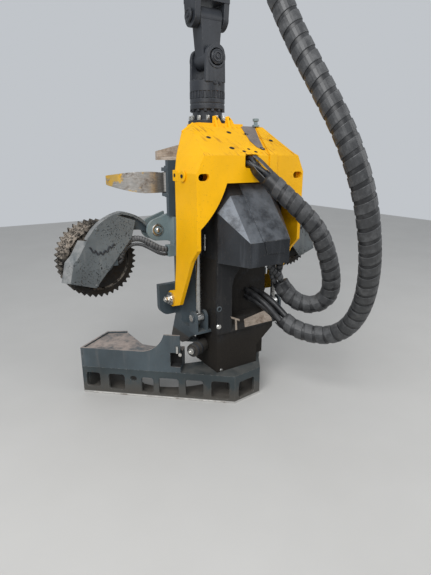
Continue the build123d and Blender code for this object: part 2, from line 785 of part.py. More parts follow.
def bar_pocket():
    """The housing on the left arm: a closed box with a skin that rises towards the root, notched there."""
    along = Vector(HEEL_LEFT[0] - LEFT_TIP[0], HEEL_LEFT[1] - LEFT_TIP[1], 0)
    root = toward(LEFT_TIP, HEEL_LEFT, POCKET_LENGTH)
    core = prism_z(
        [LEFT_TIP, root, (-345, 262), ARM_CROTCH, PADDLE_ROOT, PADDLE_TIP, LEFT_TIP_FAR],
        BOX_HEIGHT,
        POCKET_LOW - POCKET_PLATE,
    )
    rim = POCKET_PLATE
    wall_plane = Plane(origin=(LEFT_TIP[0], LEFT_TIP[1], 0), x_dir=along, z_dir=along.cross(Vector(0, 0, 1)))
    skin = wall_plane * extrude(
        outline(
            [
                (0, BOX_HEIGHT),
                (POCKET_LENGTH, BOX_HEIGHT),
                (POCKET_LENGTH, POCKET_HIGH),
                (POCKET_RISE_END, POCKET_HIGH),
                (
                    ((POCKET_LOW_LENGTH + POCKET_RISE_END) / 2 + 20, POCKET_LOW + 34),
                    (POCKET_LOW_LENGTH, POCKET_LOW),
                ),
                (0, POCKET_LOW),
            ]
        ),
        -rim,
    )
    notch = wall_plane * block(
        (NOTCH_START, NOTCH_LOW, -NOTCH_DEPTH), (POCKET_LENGTH + 1, NOTCH_HIGH, 1)
    )
    pocket = core + skin
    for start, end in ((LEFT_TIP, LEFT_TIP_FAR), (LEFT_TIP_FAR, PADDLE_TIP)):
        direction = Vector(end[0] - start[0], end[1] - start[1], 0)
        plane = Plane(origin=(start[0], start[1], 0), x_dir=direction, z_dir=direction.cross(Vector(0, 0, 1)))
        pocket = pocket + plane * block((0, BOX_HEIGHT, 0), (direction.length, POCKET_LOW, rim))
    return pocket - notch


# Tilt frame
def hood_shell(offset):
    """The hood's outer form, or with an offset the space inside it."""
    half = LEG_OUTER - offset
    knee = (HOOD_KNEE[0] - offset * 0.6, HOOD_KNEE[1] - offset * 0.8)
    eave = (HOOD_EAVE[0] - offset * 0.9, HOOD_EAVE[1] - offset * 0.4)
    tongue_half = TONGUE_HALF_WIDTH - offset * 0.3
    front = ROTATOR_Y + TONGUE_RADIUS
    across = prism_y(
        [
            (-half, HOOD_LOW),
            (-half, HOOD_SIDE_TOP),
            (-eave[0], eave[1]),
            (-knee[0], knee[1]),
            (-tongue_half, RIDGE_Z - offset),
            (tongue_half, RIDGE_Z - offset),
            knee,
            eave,
            (half, HOOD_SIDE_TOP),
            (half, HOOD_LOW),
        ],
        HOOD_BACK + offset,
        front,
    )
    side = prism_x(
        [
            (HOOD_BACK + offset, HOOD_LOW),
            (HOOD_BACK + offset, HOOD_BACK_TOP - offset * 0.6),
            (RIDGE_Y, RIDGE_Z - offset),
            (front, RIDGE_Z - offset),
            (front, HOOD_LOW),
        ],
        -half,
        half,
    )
    return across & side


def hood():
    """The hood: its shell, open below, and the tongue under the rotator with its round front."""
    wide = LEG_OUTER + 2
    front = ROTATOR_Y + TONGUE_RADIUS
    front_cut = prism_x(
        [
            (HOOD_FRONT, HOOD_LOW - 40),
            (HOOD_FRONT, HOOD_SIDE_TOP),
            (RIDGE_Y + 40, RIDGE_Z - TONGUE_THICKNESS),
            (front + 1, RIDGE_Z - TONGUE_THICKNESS),
            (front + 1, HOOD_LOW - 40),
        ],
        -wide,
        wide,
    )
    tongue = block(
        (-TONGUE_HALF_WIDTH, RIDGE_Y - 40, RIDGE_Z - TONGUE_THICKNESS), (TONGUE_HALF_WIDTH, front, RIDGE_Z)
    )
    plan = prism_z(
        [
            (-wide, HOOD_BACK - 1),
            (wide, HOOD_BACK - 1),
            (wide, RIDGE_Y + 20),
            (TONGUE_HALF_WIDTH, RIDGE_Y + 20),
            (TONGUE_RADIUS, ROTATOR_Y),
            ((0, front), (-TONGUE_RADIUS, ROTATOR_Y)),
            (-TONGUE_HALF_WIDTH, RIDGE_Y + 20),
            (-wide, RIDGE_Y + 20),
        ],
        HOOD_LOW - 50,
        RIDGE_Z + 1,
    )
    foot = LEG_OUTER - LEG_THICKNESS
    arch_cut = prism_y(
        [
            (-foot, HOOD_LOW - 1),
            ((-ARCH_MIDDLE[0], ARCH_MIDDLE[1]), (-ARCH_TOP, HOOD_BACK_EDGE)),
            (ARCH_TOP, HOOD_BACK_EDGE),
            (ARCH_MIDDLE, (foot, HOOD_LOW - 1)),
        ],
        HOOD_BACK - 1,
        HOOD_BACK + HOOD_WALL + 1,
    )
    body = (hood_shell(0) - hood_shell(HOOD_WALL) - front_cut + tongue) & plan
    return body - arch_cut


def tilt_leg():
    """The left leg from the hood down to the tilt pin."""
    low, high = -LEG_OUTER, LEG_THICKNESS - LEG_OUTER
    leg = prism_x(
        [
            (HOOD_BACK, HOOD_SIDE_TOP),
            (HOOD_BACK, 1060),
            (48, 978),
            (TILT_PIN_Y - 118, TILT_PIN_Z - 15),
            (TILT_PIN_Y - 12, TILT_PIN_Z - TILT_BOSS_RADIUS + 2),
            (TILT_PIN_Y + 4, TILT_PIN_Z + TILT_BOSS_RADIUS),
            (276, 742),
            (250, 937),
            (237, 1147),
            (228, 1334),
            (HOOD_FRONT, HOOD_SIDE_TOP),
        ],
        low,
        high,
    )
    leg = leg + rod_x(low, high, TILT_PIN_Y, TILT_PIN_Z, TILT_BOSS_RADIUS)
    return leg - rod_x(low, high, TILT_PIN_Y, TILT_PIN_Z, TILT_PIN_RADIUS + PIN_CLEARANCE)


def barrel_mount():
    """The left lug inside the hood and the pin from it through the leg, for the tilt cylinder's eye."""
    inner = CYLINDER_X - EYE_WIDTH / 2 - RUNNING_GAP - LUG_PLATE
    lug = prism_x(
        [
            (HOOD_BACK + 5, CYLINDER_PIN_Z - 62),
            (CYLINDER_PIN_Y + 10, CYLINDER_PIN_Z - 45),
            ((CYLINDER_PIN_Y + 48, CYLINDER_PIN_Z), (CYLINDER_PIN_Y + 10, CYLINDER_PIN_Z + 45)),
            (HOOD_BACK + 5, CYLINDER_PIN_Z + 70),
        ],
        -inner - LUG_PLATE,
        -inner,
    )
    return lug + rod_x(-LEG_OUTER - 10, -inner, CYLINDER_PIN_Y, CYLINDER_PIN_Z, CYLINDER_PIN_RADIUS)


def bulkhead():
    """The plate behind the hood's hole that the hoses screw into, on two strips."""
    high = BULKHEAD_LOW + 140
    plate = block((-BULKHEAD_HALF, BULKHEAD_Y, BULKHEAD_LOW), (BULKHEAD_HALF, BULKHEAD_Y + 12, high))
    for x in (-BULKHEAD_HALF, BULKHEAD_HALF - 10):
        plate = plate + block((x, HOOD_BACK + HOOD_WALL - 1, BULKHEAD_LOW), (x + 10, BULKHEAD_Y, high))
    return plate


def tilt_frame():
    """The hood, its two legs, the cylinders' upper mounts, the bulkhead and the lugs on the ridge."""
    body = hood()
    for side in (tilt_leg(), barrel_mount()):
        body = body + side + mirrored(side)
    slot = Plane(origin=(-SLOT_PLACE[0], HOOD_BACK, SLOT_PLACE[1]), x_dir=(1, 0, 0), z_dir=(0, -1, 0))
    slot_cut = extrude(slot * SlotOverall(*SLOT_SIZE), HOOD_WALL * 1.5, both=True)
    hole = Plane(origin=(HOLE_X, HOOD_BACK, HOLE_Z), x_dir=(1, 0, 0), z_dir=(0, -1, 0))
    hole_cut = extrude(hole * RectangleRounded(HOLE_WIDTH, HOLE_HEIGHT, 14), HOOD_WALL * 2.4, both=True)
    body = body - slot_cut - mirrored(slot_cut) - hole_cut
    return body + bulkhead() + ridge_lugs()


def ridge_lugs():
    """Two small lugs on the ridge, joined to the hood."""
    lugs = None
    for x in RIDGE_LUG_PLACES:
        lug = prism_x(
            [
                (RIDGE_Y - 70, RIDGE_Z - 60),
                (RIDGE_Y - 28, RIDGE_Z + 42),
                (RIDGE_Y - 12, RIDGE_Z + 42),
                (RIDGE_Y - 4, RIDGE_Z - 10),
            ],
            x - RIDGE_LUG_PLATE / 2,
            x + RIDGE_LUG_PLATE / 2,
        )
        lug = lug - rod_x(x - RIDGE_LUG_PLATE, x + RIDGE_LUG_PLATE, RIDGE_Y - 24, RIDGE_Z + 22, RIDGE_LUG_HOLE)
        lugs = lug if lugs is None else lugs + lug
    return lugs


# Tilt cylinders
def cylinder_direction():
    """The unit vector from the cylinder's upper pin to the rod's eye, in Y and Z."""
    length = math.dist((CYLINDER_PIN_Y, CYLINDER_PIN_Z), (ROD_EYE_Y, ROD_EYE_Z))
    return (ROD_EYE_Y - CYLINDER_PIN_Y) / length, (ROD_EYE_Z - CYLINDER_PIN_Z) / length, length


def along_cylinder(start, end, radius):
    """A round bar on the left cylinder's axis, between two distances from the upper pin."""
    dy, dz, _ = cylinder_direction()
    plane = Plane(
        origin=(-CYLINDER_X, CYLINDER_PIN_Y + dy * start, CYLINDER_PIN_Z + dz * start), z_dir=(0, dy, dz)
    )
    return plane * Cylinder(radius, end - start, align=(Align.CENTER, Align.CENTER, Align.MIN))


def tilt_barrel():
    """The left barrel with its upper eye and open lower end."""
    left, right = -CYLINDER_X - EYE_WIDTH / 2, -CYLINDER_X + EYE_WIDTH / 2
    eye = rod_x(left, right, CYLINDER_PIN_Y, CYLINDER_PIN_Z, EYE_RADIUS)
    neck = along_cylinder(EYE_RADIUS - 8, BARREL_START + 2, EYE_WIDTH / 2)
    barrel = along_cylinder(BARREL_START, BARREL_LENGTH, BARREL_RADIUS)
    bore = along_cylinder(BARREL_START + 40, BARREL_LENGTH, ROD_RADIUS + PIN_CLEARANCE)
    pin_hole = rod_x(left, right, CYLINDER_PIN_Y, CYLINDER_PIN_Z, CYLINDER_PIN_RADIUS + PIN_CLEARANCE)
    return eye + neck + barrel - bore - pin_hole


def tilt_rod():
    """The left rod with the eye that sits between the lugs."""
    _, _, length = cylinder_direction()
    left, right = -CYLINDER_X - EYE_WIDTH / 2, -CYLINDER_X + EYE_WIDTH / 2
    rod = along_cylinder(BARREL_LENGTH - ROD_INSIDE, length - EYE_RADIUS + 6, ROD_RADIUS)
    return rod + rod_x(left, right, ROD_EYE_Y, ROD_EYE_Z, EYE_RADIUS)


# Rotator and link
def rotator_housing():
    """The part of the rotator that is bolted to the tongue."""
    flange = rod_z(0, ROTATOR_Y, RIDGE_Z, ROTATOR_FLANGE_TOP, ROTATOR_RADIUS + 14)
    housing = rod_z(0, ROTATOR_Y, ROTATOR_FLANGE_TOP, ROTATOR_HOUSING_TOP, ROTATOR_RADIUS)
    return flange + housing


def rotator_head():
    """The turning part of the rotator with the two ears of the swing pin and the pin's caps."""
    ribs = rod_z(0, ROTATOR_Y, ROTATOR_HOUSING_TOP + FACE_GAP, ROTATOR_RIBS_TOP, ROTATOR_RADIUS - 6)
    head = ribs + rod_z(0, ROTATOR_Y, ROTATOR_RIBS_TOP, ROTATOR_COLLAR_TOP, ROTATOR_RADIUS)
    ear = prism_y(
        [
            (-74, ROTATOR_COLLAR_TOP - 10),
            (-68, SWING_PIN_Z + 20),
            ((0, SWING_PIN_Z + 78), (68, SWING_PIN_Z + 20)),
            (74, ROTATOR_COLLAR_TOP - 10),
        ],
        ROTATOR_Y - LINK_HALF_WIDTH + 8,
        ROTATOR_Y - LINK_HALF_WIDTH + 8 + LINK_EAR,
    )
    cap = rod_y(0, ROTATOR_Y - LINK_HALF_WIDTH - 4, ROTATOR_Y - LINK_HALF_WIDTH + 8, SWING_PIN_Z, 44)
    side = (ear & rod_z(0, ROTATOR_Y, ROTATOR_RIBS_TOP, SWING_PIN_Z + 90, ROTATOR_RADIUS + 12)) + cap
    head = head + side + mirror(side, about=Plane.XZ.offset(-ROTATOR_Y))
    return head + rod_y(0, ROTATOR_Y - LINK_HALF_WIDTH, ROTATOR_Y + LINK_HALF_WIDTH, SWING_PIN_Z, SWING_PIN_RADIUS)


def swing_link():
    """The cross piece between the swing pin and the crane pin."""
    span = LINK_HALF_WIDTH - 8 - LINK_EAR - RUNNING_GAP
    lower = rod_y(0, ROTATOR_Y - span, ROTATOR_Y + span, SWING_PIN_Z, 58)
    neck = prism_y(
        [(-55, SWING_PIN_Z), (-LINK_NECK, CRANE_PIN_Z), (LINK_NECK, CRANE_PIN_Z), (55, SWING_PIN_Z)],
        ROTATOR_Y - 56,
        ROTATOR_Y + 56,
    )
    upper = rod_x(-LINK_NECK, LINK_NECK, ROTATOR_Y, CRANE_PIN_Z, 60)
    bore = rod_y(0, ROTATOR_Y - span, ROTATOR_Y + span, SWING_PIN_Z, SWING_PIN_RADIUS + PIN_CLEARANCE)
    hole = rod_x(-LINK_NECK, LINK_NECK, ROTATOR_Y, CRANE_PIN_Z, SWING_PIN_RADIUS + PIN_CLEARANCE)
    return lower + neck + upper - bore - hole


def crane_fork():
    """The fork above the link with the eye that the crane's tip takes."""
    inner = LINK_NECK + RUNNING_GAP
    outer = inner + FORK_EAR
    depth = FORK_HALF_DEPTH
    ear = prism_x(
        [
            (ROTATOR_Y - depth + 14, CRANE_PIN_Z),
            ((ROTATOR_Y, CRANE_PIN_Z - depth + 14), (ROTATOR_Y + depth - 14, CRANE_PIN_Z)),
            (ROTATOR_Y + depth, CRANE_PIN_Z + FORK_EYE_RISE - 50),
            (ROTATOR_Y - depth, CRANE_PIN_Z + FORK_EYE_RISE - 50),
        ],
        -outer,
        -inner,
    )
    fork = ear + mirrored(ear)
    fork = fork + block(
        (-outer, ROTATOR_Y - depth, CRANE_PIN_Z + 80), (outer, ROTATOR_Y + depth, CRANE_PIN_Z + FORK_EYE_RISE - 50)
    )
    eye_z = CRANE_PIN_Z + FORK_EYE_RISE
    fork = fork + rod_y(0, ROTATOR_Y - FORK_EYE_HALF, ROTATOR_Y + FORK_EYE_HALF, eye_z, 62)
    fork = fork + block((-52, ROTATOR_Y - FORK_EYE_HALF, eye_z - 55), (52, ROTATOR_Y + FORK_EYE_HALF, eye_z))
    fork = fork - rod_y(0, ROTATOR_Y - FORK_EYE_HALF, ROTATOR_Y + FORK_EYE_HALF, eye_z, FORK_EYE_RADIUS)
    return fork + rod_x(-outer - 10, outer + 10, ROTATOR_Y, CRANE_PIN_Z, SWING_PIN_RADIUS)


# Roller arms
def on_arm(share, rise):
    """A point in X and Z: a share of the way from the hinge to the roller's axis, and a height over it."""
    return (
        -ARM_HINGE_X - share * (ROLLER_X - ARM_HINGE_X),
        ARM_HINGE_Z + share * (ROLLER_Z - ARM_HINGE_Z) + rise,
    )


# The arch of the arm as shares and heights for on_arm: outer side of its band, then inner side
BAND_OUTER = [(0.131, 55), (0.372, 170), (0.618, 240), (0.973, 250), (1.241, 191)]
BAND_INNER = [(0.158, 48), (0.390, 158), (0.618, 224), (0.952, 232), (1.206, 175)]
# The lower edge of the arm's web, the same columns: hub, middle, motor
WEB_LOWER = [(0.037, -37), (0.532, 85), (0.813, 17)]
# The guard's flat face, the same columns, clockwise from its upper corner at the hinge seen from the back
GUARD_FACE = [
    (0.377, 137),
    (0.460, 41),
    (1.147, -138),
    (1.570, -11),
    (1.487, 102),
    (1.382, 123),
    (1.243, 187),
    (1.096, 228),
    (0.901, 248),
    (0.682, 231),
]


def roller_arm():
    """The left arm: hub on its hinge pin, arched web, motor with its port, and the axle with its cap."""
    outer = [on_arm(*place) for place in BAND_INNER]
    lower = [on_arm(*place) for place in WEB_LOWER]
    web = prism_y(
        [
            (-ARM_HINGE_X - 9, ARM_HINGE_Z + ARM_HUB_RADIUS - 1),
            outer[0],
            (outer[1], outer[2]),
            (outer[3], outer[4]),
            (-ROLLER_X - MOTOR_RADIUS, ROLLER_Z),
            (-ROLLER_X + 15, ROLLER_Z - MOTOR_RADIUS + 8),
            lower[2],
            (lower[1], lower[0]),
        ],
        ARM_FRONT - ARM_WEB,
        ARM_FRONT,
    )
    hub = rod_y(-ARM_HINGE_X, GUARD_BACK, ARM_FRONT, ARM_HINGE_Z, ARM_HUB_RADIUS)
    motor = rod_y(-ROLLER_X, ARM_BACK, ARM_FRONT + 5, ROLLER_Z, MOTOR_RADIUS)
    port = block(
        (-ROLLER_X + 40, ARM_BACK, ROLLER_Z - MOTOR_PORT_HEIGHT / 2),
        (-ROLLER_X + MOTOR_PORT_REACH, ARM_FRONT - ARM_WEB, ROLLER_Z + MOTOR_PORT_HEIGHT / 2),
    )
    axle = rod_y(-ROLLER_X, ARM_FRONT, ROLLER_FRONT + 4, ROLLER_Z, AXLE_RADIUS)
    cap = rod_y(-ROLLER_X, ROLLER_FRONT + 4, ROLLER_FRONT + 16, ROLLER_Z, AXLE_RADIUS + 26)
    pin_hole = rod_y(-ARM_HINGE_X, GUARD_BACK, ARM_FRONT, ARM_HINGE_Z, ARM_PIN_RADIUS + PIN_CLEARANCE)
    return hub + web + motor + port + axle + cap - pin_hole


def roller_guard():
    """The left arm's cover: the band over its arch, a flat face, a flared flap and a lip below."""
    outer = [on_arm(*place) for place in BAND_OUTER]
    inner = [on_arm(*place) for place in BAND_INNER]
    band = prism_y(
        [
            outer[0],
            (outer[1], outer[2]),
            (outer[3], outer[4]),
            inner[4],
            (inner[3], inner[2]),
            (inner[1], inner[0]),
        ],
        GUARD_BACK,
        ARM_FRONT,
    )
    corners = [on_arm(*place) for place in GUARD_FACE]
    face = prism_y(corners, GUARD_BACK, GUARD_BACK + GUARD_SHEET)
    edge = corners[3:7]
    place = Plane(origin=(0, GUARD_BACK, 0), x_dir=(1, 0, 0), z_dir=(0, -1, 0))
    depth = ARM_FRONT - GUARD_BACK
    strip = place * outline(edge + [(x + GUARD_SHEET * 1.6, z) for x, z in reversed(edge)])
    flap = extrude(strip, math.hypot(depth, GUARD_FLARE), dir=(-GUARD_FLARE, depth, 0))
    low_edge = corners[2:4]
    lip = prism_y(
        low_edge + [(x + 2, z + GUARD_SHEET * 1.6) for x, z in reversed(low_edge)],
        GUARD_BACK,
        GUARD_BACK + GUARD_LIP,
    )
    return band + face + flap + lip


def feed_roller():
    """The left feed roller: a drum on its axle with rows of lugs along it."""
    drum = rod_y(-ROLLER_X, ROLLER_BACK, ROLLER_FRONT, ROLLER_Z, ROLLER_DRUM_RADIUS)
    for step in range(ROLLER_ROWS):
        row = block(
            (ROLLER_DRUM_RADIUS - 6, ROLLER_BACK, -ROLLER_LUG_WIDTH / 2),
            (ROLLER_RADIUS, ROLLER_FRONT, ROLLER_LUG_WIDTH / 2),
        )
        drum = drum + Pos(-ROLLER_X, 0, ROLLER_Z) * Rot(0, step * 360 / ROLLER_ROWS, 0) * row
    bore = rod_y(-ROLLER_X, ROLLER_BACK, ROLLER_FRONT, ROLLER_Z, AXLE_RADIUS + PIN_CLEARANCE)
    return drum - bore


# Hoses. Each route is a list of points in X, Y and Z.
BUNDLE_A_ROUTE = [
    (190, -95, 800),
    (212, -120, 742),
    (262, -178, 672),
    (345, -262, 652),
    (408, -330, 728),
    (378, -368, 860),
    (318, -372, 1020),
    (262, -342, 1165),
    (180, -275, 1282),
    (98, -190, 1385),
    (42, -110, 1470),
]
BUNDLE_B_ROUTE = [
    (98, RECESS_DEPTH - FACE_GAP, 684),
    (98, 12, 684),
    (128, -70, 640),
    (162, -125, 588),
    (190, -205, 528),
    (252, -305, 494),
    (330, -425, 500),
    (370, -540, 590),
    (342, -650, 770),
    (245, -748, 1000),
    (150, -795, 1230),
    (75, -790, 1455),
    (12, -722, 1680),
    (-45, -620, 1875),
    (-86, -516, 2045),
    (-112, -424, 2198),
    (-142, -370, 2322),
    (-198, -335, 2420),
]


def end_frame(route, last):
    """The plane of a route's end: its centre, with Z along the route."""
    end, before = (route[-1], route[-2]) if last else (route[0], route[1])
    return Plane(origin=end, z_dir=Vector(*end) - Vector(*before))


# The hoses under the hose cover: X and Y at the cover, then their place in the sleeve's end
TAILS = [(112, -62, -26, 6), (164, -42, 22, 22), (176, -104, 12, -26)]
# The hoses into the hood: their place in the sleeve's end, then X and Z at the bulkhead
HOOD_HOSES = [(-24, 8, -46, 1558), (14, 22, -12, 1584), (16, -20, 14, 1559)]
# The hoses of a roller motor: radius, then its height over the middle of each port and of its bow
MOTOR_HOSES = [(21, 11, 12, 0), (11, -24, -22, -38)]


def hose_tails():
    """The hoses from under the cover into the sleeve of the tilt frame's bundle."""
    plane = end_frame(BUNDLE_A_ROUTE, False)
    tails = []
    for x, y, across, up in TAILS:
        end = plane.from_local_coords((across, up, FACE_GAP))
        near = plane.from_local_coords((across, up, 62))
        tails.append(hose([(x, y, COVER_BOTTOM - FACE_GAP), (x, y, 906), tuple(near), tuple(end)], TAIL_RADIUS))
    return tails


def hood_hoses():
    """The hoses from the sleeve of the tilt frame's bundle through the hood's hole to its bulkhead."""
    plane = end_frame(BUNDLE_A_ROUTE, True)
    hoses = []
    for across, up, x, z in HOOD_HOSES:
        start = plane.from_local_coords((across, up, FACE_GAP))
        near = plane.from_local_coords((across, up, 46))
        hoses.append(hose([tuple(start), tuple(near), (x, -36, z), (x, BULKHEAD_Y - FACE_GAP, z)], TAIL_RADIUS))
    return hoses


def motor_hoses():
    """The left roller motor's hoses, from the port on the bracket to the port on the motor."""
    hoses = []
    inside = GUARD_BACK + GUARD_SHEET + 22
    port_x = ROLLER_X - MOTOR_PORT_REACH
    for radius, start_up, end_up, bow_up in MOTOR_HOSES:
        start_z, end_z = PORT_Z + start_up, ROLLER_Z + end_up
        bow_x, bow_z = on_arm(0.45, 27 + bow_up)
        route = [
            (-CHEEK_OUTER - PORT_LENGTH - FACE_GAP, PORT_Y, start_z),
            (-CHEEK_OUTER - PORT_LENGTH - 38, PORT_Y, start_z),
            (-ARM_HINGE_X - 66, PORT_Y + 44, start_z + 42),
            (bow_x + 58, inside - 22, bow_z + 4),
            (bow_x - 4, inside + 1, bow_z),
            (bow_x - 58, inside, bow_z - 44),
            (-port_x + 32, inside, end_z),
            (-port_x + FACE_GAP, inside, end_z),
        ]
        hoses.append(hose(route, radius))
    return hoses


def bundle_couplings():
    """The screw couplings in which the crane's bundle ends: a face plate and four hose ends."""
    plane = end_frame(BUNDLE_B_ROUTE, True)
    plate = plane * Pos(0, 0, FACE_GAP) * Cylinder(BUNDLE_RADIUS - 3, 14, align=(Align.CENTER, Align.CENTER, Align.MIN))
    for x, y in ((-24, -24), (24, -24), (-24, 24), (24, 24)):
        end = Cylinder(16, 74, align=(Align.CENTER, Align.CENTER, Align.MIN))
        nut = extrude(RegularPolygon(21, 6), 24)
        plate = plate + plane * Pos(x, y, 10) * end + plane * Pos(x, y, 40) * nut
    return plate


# All pieces
nodes = {
    "main_frame": main_frame(),
    "bed_roller": bed_roller(),
    "hose_cover": hose_cover(),
    "top_knife": top_knife(),
    "tilt_pin_left": tilt_pin(),
    "tilt_pin_right": mirrored(tilt_pin()),
    "rod_lugs_left": rod_lugs(),
    "rod_lugs_right": mirrored(rod_lugs()),
    "roller_bracket_left": roller_bracket(),
    "roller_bracket_right": mirrored(roller_bracket()),
    "upper_knife_post_left": upper_knife_post(*UPPER_KNIFE_LEFT),
    "upper_knife_post_right": mirrored(upper_knife_post(*UPPER_KNIFE_RIGHT)),
    "lower_knife_post_left": lower_knife_post(0),
    "lower_knife_post_right": mirrored(lower_knife_post(LOWER_STAGGER)),
    "upper_knife_left": upper_knife(*UPPER_KNIFE_LEFT),
    "upper_knife_right": mirrored(upper_knife(*UPPER_KNIFE_RIGHT)),
    "lower_knife_left": lower_knife(0),
    "lower_knife_right": mirrored(lower_knife(LOWER_STAGGER)),
    "saw_box": saw_box(),
    "saw_bar": saw_bar(),
    "bar_pocket": bar_pocket(),
    "tilt_frame": tilt_frame(),
    "tilt_barrel_left": tilt_barrel(),
    "tilt_barrel_right": mirrored(tilt_barrel()),
    "tilt_rod_left": tilt_rod(),
    "tilt_rod_right": mirrored(tilt_rod()),
    "rotator_housing": rotator_housing(),
    "rotator_head": rotator_head(),
    "swing_link": swing_link(),
    "crane_fork": crane_fork(),
    "roller_arm_left": roller_arm(),
    "roller_arm_right": mirrored(roller_arm()),
    "roller_guard_left": roller_guard(),
    "roller_guard_right": mirrored(roller_guard()),
    "feed_roller_left": feed_roller(),
    "feed_roller_right": mirrored(feed_roller()),
    "bundle_tilt": hose(BUNDLE_A_ROUTE, BUNDLE_RADIUS),
    "bundle_crane": hose(BUNDLE_B_ROUTE, BUNDLE_RADIUS),
    "hose_tails": hose_tails(),
    "hood_hoses": hood_hoses(),
    "motor_hoses_left": motor_hoses(),
    "motor_hoses_right": [mirrored(tube) for tube in motor_hoses()],
    "bundle_couplings": bundle_couplings(),
}

os.makedirs("parts", exist_ok=True)
for name, shape in nodes.items():
    solids = shape if isinstance(shape, list) else shape.solids()
    export_step(Compound(children=list(solids)) if len(solids) > 1 else solids[0], f"parts/{name}.step")
    print(name, len(solids), round(sum(s.volume for s in solids)))
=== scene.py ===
"""Timber harvester head on its saw box: finishes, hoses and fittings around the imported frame."""

import logging
import math
from collections.abc import Iterator
from contextlib import contextmanager
from dataclasses import dataclass
from enum import Enum
from functools import cache

import bmesh
import bpy
from mathutils import Matrix, Vector


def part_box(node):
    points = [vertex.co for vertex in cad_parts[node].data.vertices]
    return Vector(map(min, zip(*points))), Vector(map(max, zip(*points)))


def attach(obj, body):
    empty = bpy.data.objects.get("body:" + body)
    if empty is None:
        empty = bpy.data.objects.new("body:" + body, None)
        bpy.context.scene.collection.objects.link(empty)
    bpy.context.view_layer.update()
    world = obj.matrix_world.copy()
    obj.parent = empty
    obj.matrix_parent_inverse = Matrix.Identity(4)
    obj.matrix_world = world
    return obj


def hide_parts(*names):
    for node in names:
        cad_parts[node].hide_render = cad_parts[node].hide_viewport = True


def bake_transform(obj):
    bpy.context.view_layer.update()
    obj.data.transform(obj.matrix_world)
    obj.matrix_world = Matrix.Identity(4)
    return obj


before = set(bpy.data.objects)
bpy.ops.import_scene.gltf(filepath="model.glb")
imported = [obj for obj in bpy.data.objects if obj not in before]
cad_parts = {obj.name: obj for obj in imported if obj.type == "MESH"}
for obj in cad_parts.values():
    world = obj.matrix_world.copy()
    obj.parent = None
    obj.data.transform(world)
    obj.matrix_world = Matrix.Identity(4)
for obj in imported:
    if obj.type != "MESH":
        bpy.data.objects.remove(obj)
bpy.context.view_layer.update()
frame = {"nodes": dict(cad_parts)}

LOG = logging.getLogger("harvester_head")

Point = tuple[float, float, float]
Colour = tuple[float, float, float]
Spot = tuple[float, float]
Profile = tuple[Spot, ...]
Route = tuple[Point, ...]
Face = tuple[int, ...]
Heading = tuple[Vector, Vector]
Socket = bpy.types.NodeSocket
Source = Socket | float | Colour
SIDES = (("left", -1.0), ("right", 1.0))

MUD: Colour = (0.07, 0.054, 0.04)
DUST: Colour = (0.24, 0.215, 0.185)
HAZE: Colour = (0.17, 0.172, 0.175)
BARE_STEEL: Colour = (0.42, 0.41, 0.39)
UP: Point = (0.0, 0.0, 1.0)
BACK: Point = (0.0, -1.0, 0.0)
HEXAGON = 6
MERGE = 1e-6


class Sum(Enum):
    """Ways to combine two numbers."""

    PLUS = "ADD"
    MINUS = "SUBTRACT"
    TIMES = "MULTIPLY"
    SHARED = "DIVIDE"
    MOST = "MAXIMUM"


